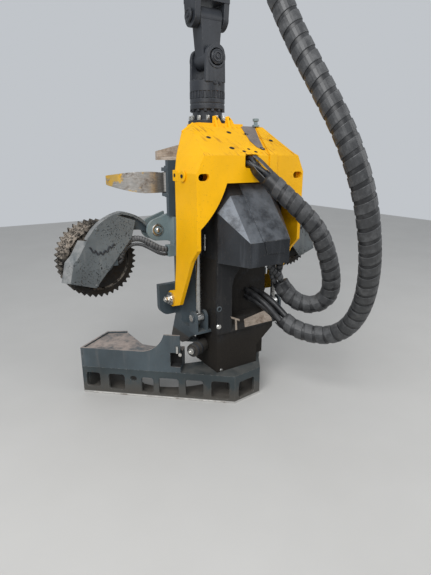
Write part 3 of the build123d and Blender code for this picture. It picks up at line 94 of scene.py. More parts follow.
class Recipe:
    """One node material, built step by step."""

    share_input, first_input, second_input, colour_output = 0, 6, 7, 2
    edge_low, edge_high = 0.02, 0.16
    bevel_samples = 4

    def __init__(self, name: str) -> None:
        """Start an empty tree with a shader and the object's own coordinates.

        Args:
            name: The material's name.
        """
        self.material = bpy.data.materials.new(name)
        self.material.use_nodes = True
        self.tree = self.material.node_tree
        self.tree.nodes.clear()
        output = self.tree.nodes.new("ShaderNodeOutputMaterial")
        self.shader = self.tree.nodes.new("ShaderNodeBsdfPrincipled")
        self.tree.links.new(self.shader.outputs["BSDF"], output.inputs["Surface"])
        self.place = self.tree.nodes.new("ShaderNodeTexCoord").outputs["Object"]

    def plug(self, socket: Socket, value: Source) -> None:
        """Link an output to a socket, or set the socket's own value.

        Args:
            socket: The input to fill.
            value: An output, a number or a colour.
        """
        if isinstance(value, bpy.types.NodeSocket):
            self.tree.links.new(value, socket)
        elif isinstance(value, tuple) and socket.type == "RGBA":
            socket.default_value = (*value, 1.0)
        else:
            socket.default_value = value

    def node(self, kind: str, *values: Source, **named: object) -> bpy.types.Node:
        """Add a node, set its options and fill its sockets.

        Args:
            kind: The node's type, without its prefix.
            *values: Values or outputs for its first sockets.
            **named: Options, and values or outputs for sockets, by their names.

        Returns:
            The node.
        """
        node = self.tree.nodes.new(f"ShaderNode{kind}")
        for socket, value in zip(node.inputs, values):
            self.plug(socket, value)
        for name, value in named.items():
            if name in node.inputs:
                self.plug(node.inputs[name], value)
            else:
                setattr(node, name, value)
        return node

    def noise(
        self, scale: float, detail: float, rough: float = 0.6, stretch: Point | None = None
    ) -> Socket:
        """Cloudy noise from 0 to 1.

        Args:
            scale: Clouds per metre.
            detail: How many finer layers it has.
            rough: How strong the finer layers are.
            stretch: Another scale along each axis, if it has one.

        Returns:
            The noise.
        """
        place = self.place
        if stretch:
            place = self.node("Mapping", Vector=place, Scale=stretch).outputs["Vector"]
        sizes = {"Scale": scale, "Detail": detail, "Roughness": rough}
        return self.node("TexNoise", Vector=place, **sizes).outputs["Fac"]

    def ramp(
        self, value: Source, low: float, high: float, start: float = 0.0, end: float = 1.0
    ) -> Socket:
        """A clamped smooth step of a value between low and high.

        Args:
            value: The output to remap.
            low: Where the step starts.
            high: Where it ends.
            start: The result below low.
            end: The result above high.

        Returns:
            The remapped output.
        """
        limits = {"From Min": low, "From Max": high, "To Min": start, "To Max": end}
        node = self.node("MapRange", value, interpolation_type="SMOOTHSTEP", **limits)
        return node.outputs["Result"]

    def combine(self, way: Sum, first: Source, second: Source) -> Socket:
        """Two numbers combined, clamped to 0 and 1."""
        node = self.node("Math", first, second, operation=way.value, use_clamp=True)
        return node.outputs["Value"]

    def times(self, first: Source, second: Source) -> Socket:
        """The product, clamped to 0 and 1."""
        return self.combine(Sum.TIMES, first, second)

    def plus(self, first: Source, second: Source) -> Socket:
        """The sum, clamped to 0 and 1."""
        return self.combine(Sum.PLUS, first, second)

    def blend(self, share: Source, first: Source, second: Source) -> Socket:
        """Two colours blended.

        Args:
            share: How much of the second colour shows.
            first: The first colour.
            second: The second colour.

        Returns:
            The blended colour.
        """
        node = self.node("Mix", data_type="RGBA")
        self.plug(node.inputs[self.share_input], share)
        self.plug(node.inputs[self.first_input], first)
        self.plug(node.inputs[self.second_input], second)
        return node.outputs[self.colour_output]

    def axis(self, name: str) -> Socket:
        """One of the object's own coordinates."""
        return self.node("SeparateXYZ", Vector=self.place).outputs[name]

    def height(self, low: float, high: float) -> Socket:
        """1 below low, 0 above high, by the height over the ground."""
        return self.ramp(self.axis("Z"), low, high, 1.0, 0.0)

    def beside(self, low: float, high: float) -> Socket:
        """0 near the middle plane, 1 beyond high, by the distance from it."""
        away = self.node("Math", self.axis("X"), operation="ABSOLUTE")
        return self.ramp(away.outputs["Value"], low, high)

    def inside(self, low: float, high: float) -> Socket:
        """0 on the back face, 1 beyond high in front of it, by the place along Y."""
        return self.ramp(self.axis("Y"), low, high)

    def agrees(self, way: Source) -> Socket:
        """How far the surface's own normal agrees with a direction, as their dot product."""
        normal = self.node("NewGeometry").outputs["Normal"]
        return self.node("VectorMath", normal, way, operation="DOT_PRODUCT").outputs["Value"]

    def facing(self, way: Point, low: float, high: float) -> Socket:
        """How far a surface looks one way, as a step from low to high."""
        return self.ramp(self.agrees(tuple(Vector(way).normalized())), low, high)

    def rounded(self, radius: float) -> Socket:
        """The surface's normal with its edges rounded."""
        return self.node("Bevel", samples=self.bevel_samples, Radius=radius).outputs["Normal"]

    def edges(self, rounded: Socket) -> Socket:
        """1 along sharp edges, where the rounded normal leaves the true one."""
        return self.ramp(
            self.agrees(rounded), 1.0 - self.edge_high, 1.0 - self.edge_low, 1.0, 0.0
        )

    def bump(
        self, height: Source, strength: float, depth: float, normal: Socket | None = None
    ) -> Socket:
        """A bumped normal.

        Args:
            height: The bumps' height from 0 to 1.
            strength: How much of the bump shows.
            depth: The bumps' depth, in metres.
            normal: The normal under it, if it isn't the surface's own.

        Returns:
            The normal.
        """
        node = self.node("Bump", Strength=strength, Distance=depth, Height=height)
        if normal is not None:
            self.plug(node.inputs["Normal"], normal)
        return node.outputs["Normal"]

    def finish(
        self, colour: Source, rough: Source, normal: Socket | None = None, **plain: float
    ) -> bpy.types.Material:
        """Set the shader's sockets.

        Args:
            colour: Base colour.
            rough: Roughness.
            normal: Normal, if it is changed.
            **plain: Other sockets by name with underscores, as plain numbers.

        Returns:
            The finished material.
        """
        self.plug(self.shader.inputs["Base Color"], colour)
        self.plug(self.shader.inputs["Roughness"], rough)
        if normal is not None:
            self.plug(self.shader.inputs["Normal"], normal)
        for name, number in plain.items():
            label = name.replace("_", " ").title().replace("Ior", "IOR")
            self.shader.inputs[label].default_value = number
        return self.material


def grey(level: float) -> Colour:
    """A colour of one level, as a roughness is blended."""
    return (level,) * 3


def scaled(colour: Colour, share: float) -> Colour:
    """A colour made darker or lighter, and no brighter than white."""
    return tuple(min(1.0, part * share) for part in colour)


@dataclass(frozen=True)
class Paint:
    """Weathered paint: cloudy, dusty on top, spotted, worn at its edges and muddy low down."""

    name: str
    colour: Colour
    rough: float = 0.42
    cloud: float = 0.16
    dust: float = 0.35
    spots: float = 0.35
    wear: float = 0.5
    worn_colour: Colour = BARE_STEEL
    mud_low: float = 0.05
    mud_high: float = 0.35
    mud: float = 0.6
    dust_colour: Colour = DUST
    dust_and_sheen_way: Point = UP
    mud_colour: Colour = MUD
    spot_colour: Colour = MUD
    spot_low: float = 0.6
    spot_step: float = 0.07
    dust_and_sheen_from: float = 0.25
    dust_full: float = 0.97
    specular: float = 0.5
    runs: float = 0.4
    run_stretch: Point = (1.0, 1.0, 0.09)
    drips: float = 0.0
    drip_stretch: Point = (1.0, 0.13, 0.13)
    drip_colour: Colour = MUD
    bare_and_highlit_below: float = 0.0
    bare_step: float = 0.002
    edge_radius: float = 0.003
    caked_rough: float = 0.9
    pale_mud: float = 2.4

    def ground(self, recipe: Recipe) -> Socket:
        """The clean paint's colour, darker and lighter in wide clouds.

        Args:
            recipe: The material in hand.

        Returns:
            The colour.
        """
        clouds = recipe.ramp(recipe.noise(scale=2.6, detail=6), 0.32, 0.68)
        dark, light = scaled(self.colour, 1 - self.cloud), scaled(self.colour, 1 + self.cloud)
        return recipe.blend(clouds, dark, light)

    def low_part(self, recipe: Recipe) -> Socket:
        """Where mud sticks, from 0 to 1."""
        return recipe.height(self.mud_low, self.mud_high)

    def streaked(self, recipe: Recipe, base: Socket) -> Socket:
        """Dust that has run down, and thin drips on roofs.

        Args:
            recipe: The material in hand.
            base: The colour under them.

        Returns:
            The colour with them.
        """
        wide = recipe.noise(scale=26, detail=6, rough=0.6, stretch=self.run_stretch)
        runs = recipe.ramp(wide, 0.5, 0.8, 0.0, self.runs * self.dust)
        base = recipe.blend(runs, base, self.dust_colour)
        if self.drips == 0:
            return base
        narrow = recipe.noise(scale=75, detail=3, rough=0.5, stretch=self.drip_stretch)
        patches = recipe.ramp(recipe.noise(scale=5, detail=4), 0.4, 0.6)
        roof = recipe.times(recipe.facing(UP, 0.7, 0.9), patches)
        drips = recipe.times(recipe.ramp(narrow, 0.5, 0.64, 0.0, self.drips), roof)
        return recipe.blend(drips, base, self.drip_colour)

    def spotted(self, recipe: Recipe, fine: Socket) -> Socket:
        """Small spots in loose groups.

        Args:
            recipe: The material in hand.
            fine: The noise that sets the spots.

        Returns:
            Where they are, from 0 to 1.
        """
        groups = recipe.ramp(recipe.noise(scale=7, detail=3), 0.4, 0.6)
        spots = recipe.ramp(fine, self.spot_low, self.spot_low + self.spot_step)
        return recipe.times(recipe.times(spots, groups), self.spots)

    def worn(self, recipe: Recipe, soft: Socket) -> Socket:
        """Edges that have lost their paint.

        Args:
            recipe: The material in hand.
            soft: The rounded normal.

        Returns:
            Where they are, from 0 to 1.
        """
        broken = recipe.ramp(recipe.noise(scale=45, detail=5), 0.46, 0.62)
        return recipe.times(recipe.times(recipe.edges(soft), broken), self.wear)

    def caked(self, recipe: Recipe) -> Socket:
        """Lumps of mud in the low part.

        Args:
            recipe: The material in hand.

        Returns:
            Where they are, from 0 to 1.
        """
        lumps = recipe.noise(scale=15, detail=8, rough=0.68)
        low = self.low_part(recipe)
        caked = recipe.ramp(recipe.plus(recipe.times(low, 0.42), lumps), 0.62, 0.8)
        return recipe.times(recipe.times(caked, low), self.mud)

    def make(self) -> bpy.types.Material:
        """Build the material.

        Returns:
            The material.
        """
        recipe = Recipe(self.name)
        fine = recipe.noise(scale=95, detail=4, rough=0.65)
        soft = recipe.rounded(self.edge_radius)
        base = self.streaked(recipe, self.ground(recipe))
        cloudy = recipe.ramp(recipe.noise(scale=9, detail=8, rough=0.7), 0.3, 0.62)
        # Paler on faces turned the dust way: dust, and painted light where that way is turned
        # sideways.
        faces_dust_and_sheen_way = recipe.facing(self.dust_and_sheen_way, self.dust_and_sheen_from, self.dust_full)
        top = recipe.times(faces_dust_and_sheen_way, cloudy)
        base = recipe.blend(recipe.times(top, self.dust), base, self.dust_colour)
        spots = self.spotted(recipe, fine)
        base = recipe.blend(spots, base, self.spot_colour)
        base = recipe.blend(self.worn(recipe, soft), base, self.worn_colour)
        caked = self.caked(recipe)
        mud = recipe.blend(fine, self.mud_colour, scaled(self.mud_colour, self.pale_mud))
        base = recipe.blend(caked, base, mud)
        # A pale band along the bottom edge: worn steel, and a painted edge highlight.
        if self.bare_and_highlit_below > 0:
            uneven = recipe.ramp(recipe.noise(scale=30, detail=6, rough=0.7), 0.28, 0.42)
            rim = recipe.height(self.bare_and_highlit_below, self.bare_and_highlit_below + self.bare_step)
            base = recipe.blend(recipe.times(rim, uneven), base, self.worn_colour)
        dull = recipe.plus(caked, recipe.plus(top, spots))
        rough = recipe.blend(dull, grey(self.rough), grey(self.caked_rough))
        grains = recipe.times(caked, recipe.noise(scale=60, detail=6, rough=0.7))
        waves = recipe.noise(scale=5.5, detail=3)
        dents = recipe.bump(waves, strength=0.12, depth=0.012, normal=soft)
        normal = recipe.bump(recipe.plus(grains, spots), strength=0.55, depth=0.004, normal=dents)
        return recipe.finish(base, rough, normal, specular_ior_level=self.specular)


@dataclass(frozen=True)
class FramePaint(Paint):
    """The frame's paint: near black on the column, slate beside it, a near-black foot and recess
    that are mud and painted shade.
    """

    column: Colour = (0.015, 0.0155, 0.017)
    smear: Colour = (0.06, 0.055, 0.05)
    stub: Colour = (0.045, 0.041, 0.037)
    stub_top: float = 0.415
    column_half: float = 0.246
    column_step: float = 0.004
    recess_face: Spot = (0.004, 0.03)
    recess_top: Spot = (0.97, 0.99)
    recess_mud_and_shade: float = 0.75

    def beyond(self, recipe: Recipe) -> Socket:
        """0 on the column, 1 beyond its sides."""
        return recipe.beside(self.column_half - self.column_step, self.column_half)

    def ground(self, recipe: Recipe) -> Socket:
        """Black in the middle, slate beyond the column's sides, darker and browner below the stub's
        top.

        Args:
            recipe: The material in hand.

        Returns:
            The colour.
        """
        slate = super().ground(recipe)
        streaks = recipe.noise(scale=13, detail=8, rough=0.72, stretch=(1.0, 1.0, 0.4))
        smears = recipe.ramp(streaks, 0.5, 0.72, 0.0, 0.55)
        black = recipe.blend(smears, self.column, self.smear)
        low = recipe.height(self.stub_top, self.stub_top + 0.01)
        return recipe.blend(self.beyond(recipe), black, recipe.blend(low, slate, self.stub))

    def low_part(self, recipe: Recipe) -> Socket:
        """The foot, and the recess up to its ceiling, where near-black mud also paints their shade.

        Args:
            recipe: The material in hand.

        Returns:
            Where mud and painted shade go, from 0 to 1.
        """
        foot = recipe.height(self.mud_low, self.mud_high)
        recess = recipe.times(recipe.inside(*self.recess_face), recipe.height(*self.recess_top))
        both = recipe.combine(Sum.MOST, foot, recipe.times(recess, self.recess_mud_and_shade))
        return recipe.times(both, recipe.combine(Sum.MINUS, 1.0, self.beyond(recipe)))


@dataclass(frozen=True)
class WornSteel:
    """Bare steel with scratches, dark stains, rust and patches of paint that is left."""

    name: str
    colour: Colour = (0.5, 0.48, 0.45)
    stain: Colour = (0.13, 0.1, 0.08)
    edge: Colour = (0.62, 0.6, 0.56)
    paint: Colour = (0.86, 0.5, 0.02)
    paint_share: float = 0.0
    rough: float = 0.34
    stained_rough: float = 0.8
    metal: float = 0.85
    grain: Point = (0.25, 0.25, 2.2)

    def make(self) -> bpy.types.Material:
        """Build the material.

        Returns:
            The material.
        """
        recipe = Recipe(self.name)
        scratches = recipe.noise(scale=120, detail=5, rough=0.7, stretch=self.grain)
        worn = recipe.ramp(scratches, 0.35, 0.7)
        base = recipe.blend(worn, scaled(self.colour, 0.6), self.colour)
        stains = recipe.ramp(recipe.noise(scale=11, detail=9, rough=0.72), 0.47, 0.66)
        base = recipe.blend(stains, base, self.stain)
        soft = recipe.rounded(0.002)
        base = recipe.blend(recipe.times(recipe.edges(soft), 0.6), base, self.edge)
        patches = recipe.ramp(recipe.noise(scale=8, detail=7, rough=0.6), 0.55, 0.6)
        base = recipe.blend(recipe.times(patches, self.paint_share), base, self.paint)
        rough = recipe.blend(stains, grey(self.rough), grey(self.stained_rough))
        normal = recipe.bump(scratches, strength=0.18, depth=0.001, normal=soft)
        return recipe.finish(base, rough, normal, metallic=self.metal)


@dataclass(frozen=True)
class Rubber:
    """Hose or plastic guard: near black, dusty, with a dull shine."""

    name: str
    colour: Colour = (0.022, 0.023, 0.025)
    rough: float = 0.42
    dusty_rough: float = 0.85
    dust: float = 0.3

    def make(self) -> bpy.types.Material:
        """Build the material.

        Returns:
            The material.
        """
        recipe = Recipe(self.name)
        clouds = recipe.noise(scale=22, detail=7, rough=0.7)
        patches = recipe.ramp(recipe.noise(scale=12, detail=6, rough=0.7), 0.3, 0.6)
        above = recipe.times(recipe.facing(UP, 0.1, 0.9), self.dust)
        film = recipe.ramp(clouds, 0.42, 0.75, 0.0, self.dust)
        haze = recipe.plus(film, recipe.times(above, patches))
        base = recipe.blend(haze, self.colour, HAZE)
        specks = recipe.ramp(recipe.noise(scale=110, detail=3), 0.62, 0.7)
        base = recipe.blend(recipe.times(specks, 0.5 * self.dust), base, MUD)
        rough = recipe.blend(haze, grey(self.rough), grey(self.dusty_rough))
        normal = recipe.bump(recipe.noise(scale=150, detail=4), strength=0.12, depth=0.001)
        return recipe.finish(base, rough, normal)


@dataclass(frozen=True)
class CakedSteel:
    """Feed roller and saw chain steel: dark, caked with bark and mud, paler up and to the left: dry
    mud and painted sky highlight.
    """

    name: str
    colour: Colour = (0.013, 0.012, 0.011)
    cake: float = 0.75
    tip_wear_and_highlight: float = 0.2
    dry_and_sheen: float = 0.5
    wet_cake: tuple[Colour, Colour] = ((0.01, 0.008, 0.006), (0.035, 0.028, 0.021))
    dry_mud_and_highlight: Colour = (0.42, 0.37, 0.31)
    crust: Colour = (0.34, 0.29, 0.24)
    crust_beyond: Spot = (0.83, 0.93)
    crust_above: Spot = (0.96, 1.07)
    tip: Colour = (0.4, 0.38, 0.35)
    rough: float = 0.45
    caked_rough: float = 0.92
    dry_and_lit_way: Point = (-0.35, 0.0, 1.0)

    def make(self) -> bpy.types.Material:
        """Build the material.

        Returns:
            The material.
        """
        recipe = Recipe(self.name)
        grain = recipe.noise(scale=38, detail=9, rough=0.75)
        base = recipe.blend(recipe.ramp(grain, 0.35, 0.65), scaled(self.colour, 0.45), self.colour)
        lumps = recipe.ramp(recipe.noise(scale=17, detail=8, rough=0.7), 0.42, 0.6)
        caked = recipe.times(lumps, self.cake)
        base = recipe.blend(caked, base, recipe.blend(grain, *self.wet_cake))
        # Pale on faces turned up and left: dry mud, and a painted highlight from the sky.
        above = recipe.times(recipe.facing(self.dry_and_lit_way, 0.25, 0.9), recipe.ramp(grain, 0.42, 0.6))
        base = recipe.blend(recipe.times(above, self.dry_and_sheen), base, self.dry_mud_and_highlight)
        high = recipe.combine(Sum.MINUS, 1.0, recipe.height(*self.crust_above))
        outer = recipe.times(recipe.beside(*self.crust_beyond), high)
        base = recipe.blend(recipe.times(outer, recipe.ramp(grain, 0.43, 0.55)), base, self.crust)
        soft = recipe.rounded(0.002)
        # Pale sharp edges: worn stud tips, and painted edge highlights.
        base = recipe.blend(recipe.times(recipe.edges(soft), self.tip_wear_and_highlight), base, self.tip)
        rough = recipe.blend(caked, grey(self.rough), grey(self.caked_rough))
        normal = recipe.bump(grain, strength=0.7, depth=0.004, normal=soft)
        return recipe.finish(base, rough, normal, metallic=0.1, specular_ior_level=0.25)


@dataclass(frozen=True)
class Bright:
    """Plated or polished steel with a smear of grime."""

    name: str
    colour: Colour = (0.66, 0.65, 0.62)
    rough: float = 0.22
    grime: float = 0.4
    grime_colour: Colour = (0.12, 0.1, 0.085)
    grimy_rough: float = 0.7
    metal: float = 0.95

    def make(self) -> bpy.types.Material:
        """Build the material.

        Returns:
            The material.
        """
        recipe = Recipe(self.name)
        smear = recipe.ramp(recipe.noise(scale=55, detail=6, rough=0.7), 0.45, 0.7, 0.0, self.grime)
        base = recipe.blend(smear, self.colour, self.grime_colour)
        rough = recipe.blend(smear, grey(self.rough), grey(self.grimy_rough))
        marks = recipe.noise(scale=200, detail=3)
        normal = recipe.bump(marks, strength=0.08, depth=0.0006, normal=recipe.rounded(0.0015))
        return recipe.finish(base, rough, normal, metallic=self.metal)


Finish = Paint | WornSteel | Rubber | CakedSteel | Bright


class Shelf:
    """The finishes, each made once."""

    hood = Paint(
        "hood_yellow_paint", (0.9, 0.455, 0.0), rough=0.5, cloud=0.07, dust=0.1, spots=0.4,
        wear=0.3, worn_colour=(0.2, 0.16, 0.12), mud_low=0.3, mud_high=0.95, mud=0.12,
        dust_colour=(0.66, 0.45, 0.12), specular=0.22, spot_colour=(0.3, 0.15, 0.02), drips=0.75,
        drip_colour=(0.42, 0.16, 0.01),
    )
    slate = Paint(
        "frame_slate_paint", (0.058, 0.076, 0.088), rough=0.44, cloud=0.2, dust=0.25, spots=0.5,
        wear=0.45, mud_low=0.1, mud_high=0.6, mud=0.3, specular=0.35,
    )
    # The near-black mud on the foot and in the recess is partly mud and partly painted shade.
    frame = FramePaint(
        "frame_black_paint", (0.055, 0.073, 0.085), cloud=0.2, dust=0.14, spots=0.45, wear=0.4,
        mud_low=0.36, mud_high=0.62, mud=0.92, mud_colour=(0.011, 0.009, 0.007), specular=0.25,
    )
    # Its pale worn edges and pale bottom rim are partly bare steel and partly painted edge
    # highlights.
    box = Paint(
        "saw_box_slate_paint", (0.04, 0.052, 0.056), rough=0.46, cloud=0.25, dust=0.25, spots=0.8,
        wear=0.9, mud_low=0.0, mud_high=0.24, mud=0.45, bare_and_highlit_below=0.013, specular=0.35,
    )
    pocket = Paint(
        "pocket_slate_paint", (0.066, 0.085, 0.096), rough=0.46, cloud=0.22, dust=0.9, spots=0.6,
        wear=0.8, mud_low=0.0, mud_high=0.24, mud=0.3, dust_colour=(0.41, 0.34, 0.3),
        specular=0.35, runs=0.12,
    )
    bracket = Paint(
        "bracket_slate_paint", (0.18, 0.235, 0.245), rough=0.44, cloud=0.2, dust=0.4, spots=0.6,
        wear=0.5, mud=0.0,
    )
    # Its pale film on faces turned left, back and up is partly dust and partly painted light.
    guard_plate = Paint(
        "guard_slate_paint", (0.1, 0.114, 0.12), rough=0.4, cloud=0.32, dust=0.85, spots=0.95,
        wear=0.8, mud=0.0, dust_colour=(0.3, 0.3, 0.295), spot_colour=(0.006, 0.006, 0.006),
        spot_low=0.55, dust_and_sheen_way=(-0.75, -0.25, 0.6), dust_and_sheen_from=0.35,
    )
    # Its blue-grey film on faces turned left, back and up is partly dust and partly painted sky
    # reflection.
    cover = Paint(
        "cover_black_paint", (0.026, 0.029, 0.034), rough=0.36, cloud=0.3, dust=0.85, spots=0.5,
        wear=0.5, mud_low=0.2, mud_high=0.9, dust_colour=(0.27, 0.295, 0.33),
        dust_and_sheen_way=(-0.5, -0.45, 0.74), dust_and_sheen_from=0.7, runs=0.15, specular=0.35,
    )
    cylinder = Paint(
        "cylinder_black_paint", (0.016, 0.017, 0.018), rough=0.34, cloud=0.2, dust=0.2,
        spots=0.3, wear=0.3, mud=0.0,
    )
    cast = Paint(
        "rotator_black_cast", (0.024, 0.027, 0.033), cloud=0.25, dust=0.22, spots=0.5, wear=0.35,
        mud=0.0, dust_colour=HAZE, specular=0.35,
    )
    # Purple-grey painted shade on the hood's right slope, with spots and dust over it.
    channel = Paint(
        "channel_painted_shade", (0.15, 0.125, 0.13), rough=0.6, cloud=0.3, dust=0.5, spots=0.9,
        wear=0.4, mud=0.0,
    )
    knife = WornSteel("knife_worn_steel", (0.6, 0.57, 0.53), paint_share=0.7)
    top_knife = WornSteel(
        "top_knife_worn_steel", (0.52, 0.43, 0.35), stain=(0.22, 0.165, 0.125), rough=0.5, metal=0.4
    )
    # Near-white steel of the saw box's bottom strip: worn steel and a painted edge highlight.
    edge = WornSteel(
        "worn_and_highlit_edge_steel", (0.8, 0.78, 0.74), stain=(0.25, 0.22, 0.19), rough=0.5, metal=0.2
    )
    bar = WornSteel("saw_bar_steel", (0.4, 0.4, 0.39), stain=(0.06, 0.055, 0.05))
    roller = CakedSteel("roller_caked_steel")
    chain = CakedSteel("chain_dark_steel", (0.1, 0.1, 0.1), cake=0.3)
    guard = Rubber("spiral_guard_plastic", (0.034, 0.035, 0.037), rough=0.38, dust=0.4)
    hose = Rubber("hose_rubber", (0.01, 0.0105, 0.012), rough=0.4, dust=0.2)
    sleeve = Rubber("pale_hose_sleeve", (0.06, 0.061, 0.062), rough=0.5, dust=1.0)
    # Near-black matte: painted shade in holes, eyes and the notch, and the black of the hood's side
    # bolts.
    dark = Rubber("dark_hollow", (0.004, 0.004, 0.0042), rough=0.9, dust=0.05)
    pin = Bright("plated_pin_steel")
    rod = Bright("chromed_rod", (0.4, 0.4, 0.39), rough=0.24, grime=0.3)
    fitting = Bright("hose_fitting_steel", (0.5, 0.5, 0.47), rough=0.3, grime=0.5)

    @staticmethod
    @cache
    def take(finish: Finish) -> bpy.types.Material:
        """The material of a finish, made on first use."""
        return finish.make()


# Pieces and their meshes


@dataclass(frozen=True)
class Bend:
    """A joint that a soft piece crosses: its two bodies, and where it leaves one for the other."""

    first: str
    second: str
    start: Point
    end: Point


def add_piece(
    data: bpy.types.Mesh,
    finish: Finish,
    body: str | Bend,
    replaces: tuple[str, ...] = (),
    smooth: bool = False,
) -> bpy.types.Object:
    """Put a finished mesh in the scene as a piece with the mesh's name.

    Args:
        data: The mesh, in metres, in place.
        finish: The finish that it gets.
        body: The body that it rides on, or the bend that it crosses, which leaves it unattached in
            place.
        replaces: CAD nodes that it stands for.
        smooth: Whether its faces are shaded smooth.

    Returns:
        The object.
    """
    piece = bpy.data.objects.new(data.name, data)
    bpy.context.scene.collection.objects.link(piece)
    data.materials.clear()
    data.materials.append(Shelf.take(finish))
    if smooth:
        data.polygons.foreach_set("use_smooth", [True] * len(data.polygons))
    if isinstance(body, Bend):
        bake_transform(piece)
    else:
        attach(piece, body)
    if replaces:
        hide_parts(*replaces)
    LOG.info("piece %s on %s", piece.name, body)
    return piece


@contextmanager
def editing(data: bpy.types.Mesh) -> Iterator[bmesh.types.BMesh]:
    """A mesh open for changes, which are written back at the end.

    Args:
        data: The mesh.

    Yields:
        Its editable form.
    """
    work = bmesh.new()
    work.from_mesh(data)
    yield work
    work.to_mesh(data)
    work.free()


def mesh_from(name: str, points: list[Vector], faces: list[Face]) -> bpy.types.Mesh:
    """A mesh with its doubles merged and its normals outward.

    Args:
        name: The mesh's name.
        points: Its points.
        faces: Its faces, as numbers of points.

    Returns:
        The mesh.
    """
    data = bpy.data.meshes.new(name)
    data.from_pydata([tuple(p) for p in points], [], faces)
    with editing(data) as work:
        bmesh.ops.remove_doubles(work, verts=work.verts, dist=MERGE)
        bmesh.ops.recalc_face_normals(work, faces=work.faces)
    return data


def loft(name: str, points: list[Vector], width: int) -> bpy.types.Mesh:
    """A closed skin over rings of points.

    Args:
        name: The mesh's name.
        points: The points, ring after ring.
        width: Points in a ring.

    Returns:
        The mesh.
    """
    total = len(points)
    faces: list[Face] = [tuple(range(width)), tuple(range(total - 1, total - width - 1, -1))]
    for low in range(0, total - width, width):
        for column in range(width):
            after = low + (column + 1) % width
            faces.append((low + column, after, after + width, low + column + width))
    return mesh_from(name, points, faces)


def joined(name: str, parts: list[bpy.types.Mesh]) -> bpy.types.Mesh:
    """Several meshes as one.

    Args:
        name: The new mesh's name.
        parts: The meshes, which are used up.

    Returns:
        The mesh.
    """
    work = bmesh.new()
    for part in parts:
        work.from_mesh(part)
        bpy.data.meshes.remove(part)
    data = bpy.data.meshes.new(name)
    work.to_mesh(data)
    work.free()
    return data


def aim(centre: Point, axis: Point) -> Matrix:
    """A place whose Z runs along an axis."""
    turn = Vector(axis).to_track_quat("Z", "Y").to_matrix().to_4x4()
    return Matrix.Translation(centre) @ turn


def raised(place: Matrix, height: float) -> Matrix:
    """A place moved along its own Z."""
    return place @ Matrix.Translation((0, 0, height))


def round_way(place: Matrix, radius: float, steps: int, level: float = 0.0) -> list[Vector]:
    """Points round a place's Z.

    Args:
        place: The circle's place.
        radius: Its radius.
        steps: How many points.
        level: Its height along Z.

    Returns:
        The points.
    """
    angles = [math.tau * step / steps for step in range(steps)]
    return [place @ Vector((radius * math.cos(a), radius * math.sin(a), level)) for a in angles]


def turned(name: str, profile: Profile, place: Matrix, steps: int) -> bpy.types.Mesh:
    """A turned piece, closed at both ends.

    Args:
        name: The mesh's name.
        profile: Radius and height pairs from one end to the other.
        place: Where its axis stands.
        steps: Faces round it.

    Returns:
        The mesh.
    """
    points: list[Vector] = []
    for radius, height in profile:
        points += round_way(place, radius, steps, height)
    return loft(name, points, steps)


def slab(name: str, outline: Route, depth: Point, bevel: float) -> bpy.types.Mesh:
    """A flat outline pushed along a depth.

    Args:
        name: The mesh's name.
        outline: Its corners.
        depth: How far and which way it is pushed.
        bevel: How far its edges are softened.

    Returns:
        The mesh.
    """
    near = [Vector(p) for p in outline]
    data = loft(name, near + [p + Vector(depth) for p in near], len(near))
    if bevel > 0:
        with editing(data) as work:
            bmesh.ops.bevel(
                work, geom=work.edges[:], offset=bevel, segments=2, affect="EDGES", profile=0.6
            )
    return data


# Trees of nodes for what repeats


